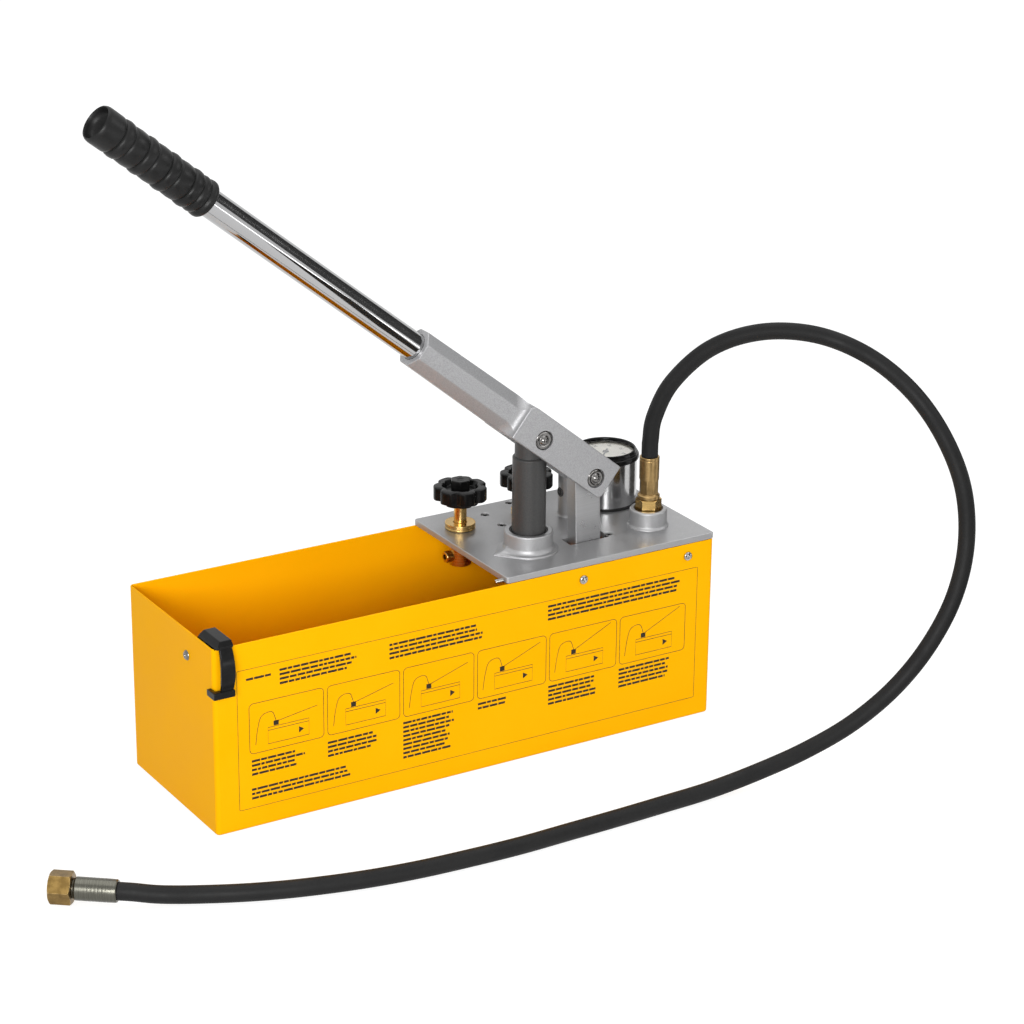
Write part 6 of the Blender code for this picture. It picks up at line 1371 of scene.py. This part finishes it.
def column_parts():
    """Hexagonal cap and the dark plug in the column's side port."""
    x, y = COLUMN_PLACE[:2]
    cap = carved(chamfered_nut(0.021, 0, 0.008, 0.0009), [turned(rod(0.0062, -0.010, 0.004), SMALL_ROUND)])
    finish(cap, "column_cap", "bright_steel", "base", "delivery_cap", at((x, y, 0.2306)))
    profile = [(0, 0), (0.0045, 0), (0.0045, 0.0036), (0.0033, 0.0036), (0.0033, 0.0018), (0, 0.0018)]
    place = at((x - 0.0087, y, PORT_HEIGHT), (-1, 0, 0))
    spin("port_plug", "dark_steel", "base", "column_plug", place, 0.0003, profile, SMALL_ROUND)


# The gauge's round pieces: name, slot, the solid it stands for, softness, profile, and a finish of its own
GAUGE_PIECES = (
    ("gauge_can", "chrome", "gauge_case", 0.0004,
     [(0.0068, 0.1826), (0.0299, 0.1826), (0.0299, 0.2314), (0.0289, 0.2314),
      (0.0289, 0.2293), (0.0279, 0.2293), (0.0279, 0.1836), (0.0068, 0.1836)], GAUGE_STEEL),
    ("gauge_rim", "black_plastic", "gauge_bezel", 0.0005,
     [(0.0302, 0.2272), (0.0314, 0.2272), (0.0318, 0.2290), (0.0314, 0.2314),
      (0.0298, 0.2322), (0.0290, 0.2338), (0.0288, 0.2358), (0.0279, 0.2366),
      (0.0265, 0.2362), (0.0259, 0.2348), (0.0259, 0.2336), (0.0302, 0.2336)], None),
    ("gauge_foot_seal", "black_rubber", "gauge_foot_ring", 0.0003,
     tube(0.0312, 0.0302, 0.1826, 0.1846), None),
    ("gauge_glass", "clear_glass", "gauge_lens", 0.0003, rod(0.0299, 0.2317, 0.2333), None),
    ("gauge_face", "dial_cream", "gauge_dial", 0.0002, tube(0.0286, 0.0011, 0.2296, 0.2304), None),
)
# Printed scale: its underside and top, its arc's radii, its start in degrees, its numbers' size and place
SCALE_LOW = 0.2303
SCALE_HIGH = 0.23045
SCALE_RADIUS = 0.0252
SCALE_OUTER = 0.0255
SCALE_START = -135
NUMBER_SIZE = 0.0050
NUMBER_RADIUS = 0.0178


def gauge():
    """Gauge that faces up: can, bezel, foot ring, glass, dial with its scale, and needle."""
    matrix = at(GAUGE_PLACE)
    for name, slot, node, soft, profile, material in GAUGE_PIECES:
        spin(name, slot, "base", node, matrix, soft, profile, FINE_ROUND, material)
    dial_scale()
    outline = [(-0.0070, -0.0010), (-0.0070, 0.0010), (0.0150, 0.0004), (0.0190, 0.0001)]
    outline += [(0.0190, -0.0001), (0.0150, -0.0004)]
    hub = eased(rod(0.0030, 0.2307, 0.2314), 0.0003, SMALL_ROUND)
    axle = turned(rod(0.0008, 0.2277, 0.2312), TINY_ROUND)
    needle = carved(prism(outline, 0.2307, 0.2312), [hub, axle])
    place = matrix @ turn(SCALE_START, "Z")
    finish(needle, "gauge_pointer", "black_plastic", "needle", "gauge_needle", place)


def dial_scale():
    """Printed ticks and plain numbers round three quarters of the dial."""
    shape = bmesh.new()
    for tick in range(31):
        angle = math.radians(SCALE_START - 9 * tick)
        inner, half = (0.0215, 0.0003) if tick % 5 == 0 else (0.0232, 0.00015)
        along = Vector(polar(1, angle))
        side = Vector((-along.y, along.x)) * half
        start, end = along * inner, along * SCALE_RADIUS
        corners = (start - side, end - side, end + side, start + side)
        skinned(shape, [[shape.verts.new((point.x, point.y, height)) for point in corners]
                        for height in (SCALE_LOW, SCALE_HIGH)])
    angles = [math.radians(SCALE_START - 3 * step) for step in range(91)]
    rows = []
    for radius, height in tube(SCALE_OUTER, SCALE_RADIUS, SCALE_LOW, SCALE_HIGH):
        rows.append([shape.verts.new(polar(radius, angle, height)) for angle in angles])
    skinned(shape, list(zip(*rows)))
    finish(loose(shape), "dial_ticks", "dial_cream", "base", place=at(GAUGE_PLACE), material=INK)
    for number in range(7):
        dial_number(str(number * 10), math.radians(SCALE_START - 45 * number))


def dial_number(digits, angle):
    """A plain number on the dial."""
    words = bpy.data.curves.new("number", "FONT")
    words.body = digits
    words.size = NUMBER_SIZE
    words.extrude = 0.00008
    words.align_x = "CENTER"
    words.align_y = "CENTER"
    text = added("number", words)
    figure = added("figure", evaluated_mesh(text))
    bpy.data.objects.remove(text, do_unlink=True)
    spot = Matrix.Translation(polar(NUMBER_RADIUS, angle, 0.23040))
    place = at(GAUGE_PLACE) @ spot @ turn(90, "Z")
    finish(figure, f"dial_number_{digits}", "dial_cream", "base", place=place, material=INK)


def outlet_fitting():
    """Brass nut in the outlet's cup, and the ferrule that grips the hose."""
    place = at((OUTLET_PLACE[0], OUTLET_PLACE[1], 0))
    nut = chamfered_nut(0.0211, 0.1944, 0.2091, 0.0009, -31.5)
    spigot = turned(rod(0.008, 0.1824, 0.2), SMALL_ROUND)
    carved(nut, [spigot], [drill(0.0035, (0, 0, 0.212), (0, 0, 0.181))])
    finish(nut, "outlet_hex_nut", "brass", "base", "outlet_nut", place)
    low, high = 0.2094, 0.2501
    profile = [(0.0035, low), (0.0104, low), (0.0104, low + 0.0030), (0.0093, low + 0.0038)]
    profile += [(0.0088, low + 0.0046), (0.0088, low + 0.0170), (0.0092, low + 0.0190)]
    profile += [(0.0093, high - 0.0032), (0.0091, high - 0.0029), (0.0091, high - 0.0024)]
    profile += [(0.0093, high - 0.0021), (0.0093, high - 0.0004), (0.0088, high), (0.0035, high)]

    def flats(radius, angle):
        if not 0.00875 < radius < 0.00885:
            return radius
        off = angle % math.radians(45) - math.radians(22.5)
        return max(radius * math.cos(math.radians(22.5)) / math.cos(off), 0.00775)

    ferrule = eased(profile, 0.0003, lobes=flats)
    finish(ferrule, "hose_crimp_ferrule", "brass", "base", "hose_ferrule", place, DULL_BRASS)


# The latch

def latch_bar():
    """The bar on top, with a sloped left side."""
    levels = ((0.0247, 0.0018, 0.0172, -0.0562, -0.0188), (0.0272, 0.0030, 0.0173, -0.0562, -0.0200),
              (0.0312, 0.0058, 0.0168, -0.0535, -0.0226))
    sections = []
    for z, left, right, front, back in levels:
        sections.append([(x, y, z) for x, y in box_outline(left, right, front, back)])
    return bevelled(lofted(sections), 0.0007, 3, 20)


def latch_bow():
    """The bow over the front wall, which follows an arc about the rivet."""
    inner, outer = 0.0571, 0.0605
    sections = []
    for step in range(25):
        share = step / 24
        angle = math.radians(152 + 47.5 * share)
        near = 0.0050 - 0.0013 * math.sin(math.pi * min(1, share * 1.2) / 2)
        far = 0.0166 + 0.0006 * math.sin(math.pi * share) - 0.0024 * max(0, share - 0.6) / 0.4
        reach = outer - 0.0006 * max(0, 1 - share * 6)
        section = round_box(near, far, inner, reach, 0.0009, 3)
        sections.append([(x, *polar(radius, angle)) for x, radius in section])
    return lofted(sections)


def lever_latch():
    """Black plastic latch: hub arm inside the wall, bar on top, bow over the front and lip below."""
    outline = arc(0, 0, 0.009, -150, 45, 20)
    outline += [(-0.0200, 0.0252), (-0.0545, 0.0252), (-0.0540, 0.0242), (-0.0487, 0.0242)]
    outline.append((-0.0336, 0.009))
    latch = bevelled(prism(outline, 0.0018, 0.0130, "YZ"), 0.0010)
    lip = round_box(-0.0608, -0.0543, -0.0192, -0.0125, 0.0016, 4)
    foot = bevelled(prism(lip, -0.0037, 0.0162, "YZ"), 0.0010)
    wrap = round_box(-0.0605, -0.0460, -0.0189, -0.0128, 0.0012, 3)
    ear = bevelled(prism(wrap, -0.0040, -0.0003, "YZ"), 0.0008)
    carved(latch, [latch_bar(), latch_bow(), foot, ear], [drill(0.0028, (0.016, 0, 0), (-0.002, 0, 0))])
    finish(latch, "corner_latch", "black_plastic", "latch", "lever_latch", LATCH_FRAME)
    profile = [(0, -0.0008), (0.0012, -0.0009), (0.0016, -0.0022), (0.0028, -0.0023), (0.0041, -0.0013)]
    profile += [(0.0048, -0.0002), (0.0025, -0.0002), (0.0025, 0.0133), (0.0048, 0.0133)]
    profile += [(0.0048, 0.0151), (0, 0.0151)]
    rivet = eased(profile, 0.0003, SMALL_ROUND)
    place = at(LATCH_PLACE, (1, 0, 0))
    finish(rivet, "latch_rivet_domed", "bright_steel", "base", "latch_rivet", place, PIN_STEEL)


def dress_kept_nodes():
    """Give each solid that stays in sight the finish of its slot."""
    kept = {
        "manifold_block": "bright_steel",
        "piston_guide_ring": "black_plastic",
        "delivery_ball": "bright_steel",
        "foot_valve_ball": "bright_steel",
        "gauge_stem": "brass",
    }
    for node, slot in kept.items():
        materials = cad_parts[node].data.materials
        materials.clear()
        materials.append(FINISHES[slot])


def main():
    bpy.context.scene.view_settings.view_transform = "Standard"
    photograph_camera()
    free_hose(hose_end_pieces())
    white_world()
    pale_floor()
    studio_lamps()
    black_cards()
    tank_shell()
    front_print()
    plate_casting()
    button_screws()
    recessed_screws()
    piston_rod()
    barrel_and_seal()
    lever_casting()
    lever_tube_and_grip()
    lever_pins()
    fulcrum_post()
    valves()
    column_parts()
    gauge()
    outlet_fitting()
    lever_latch()
    dress_kept_nodes()


main()
bpy.context.view_layer.update()
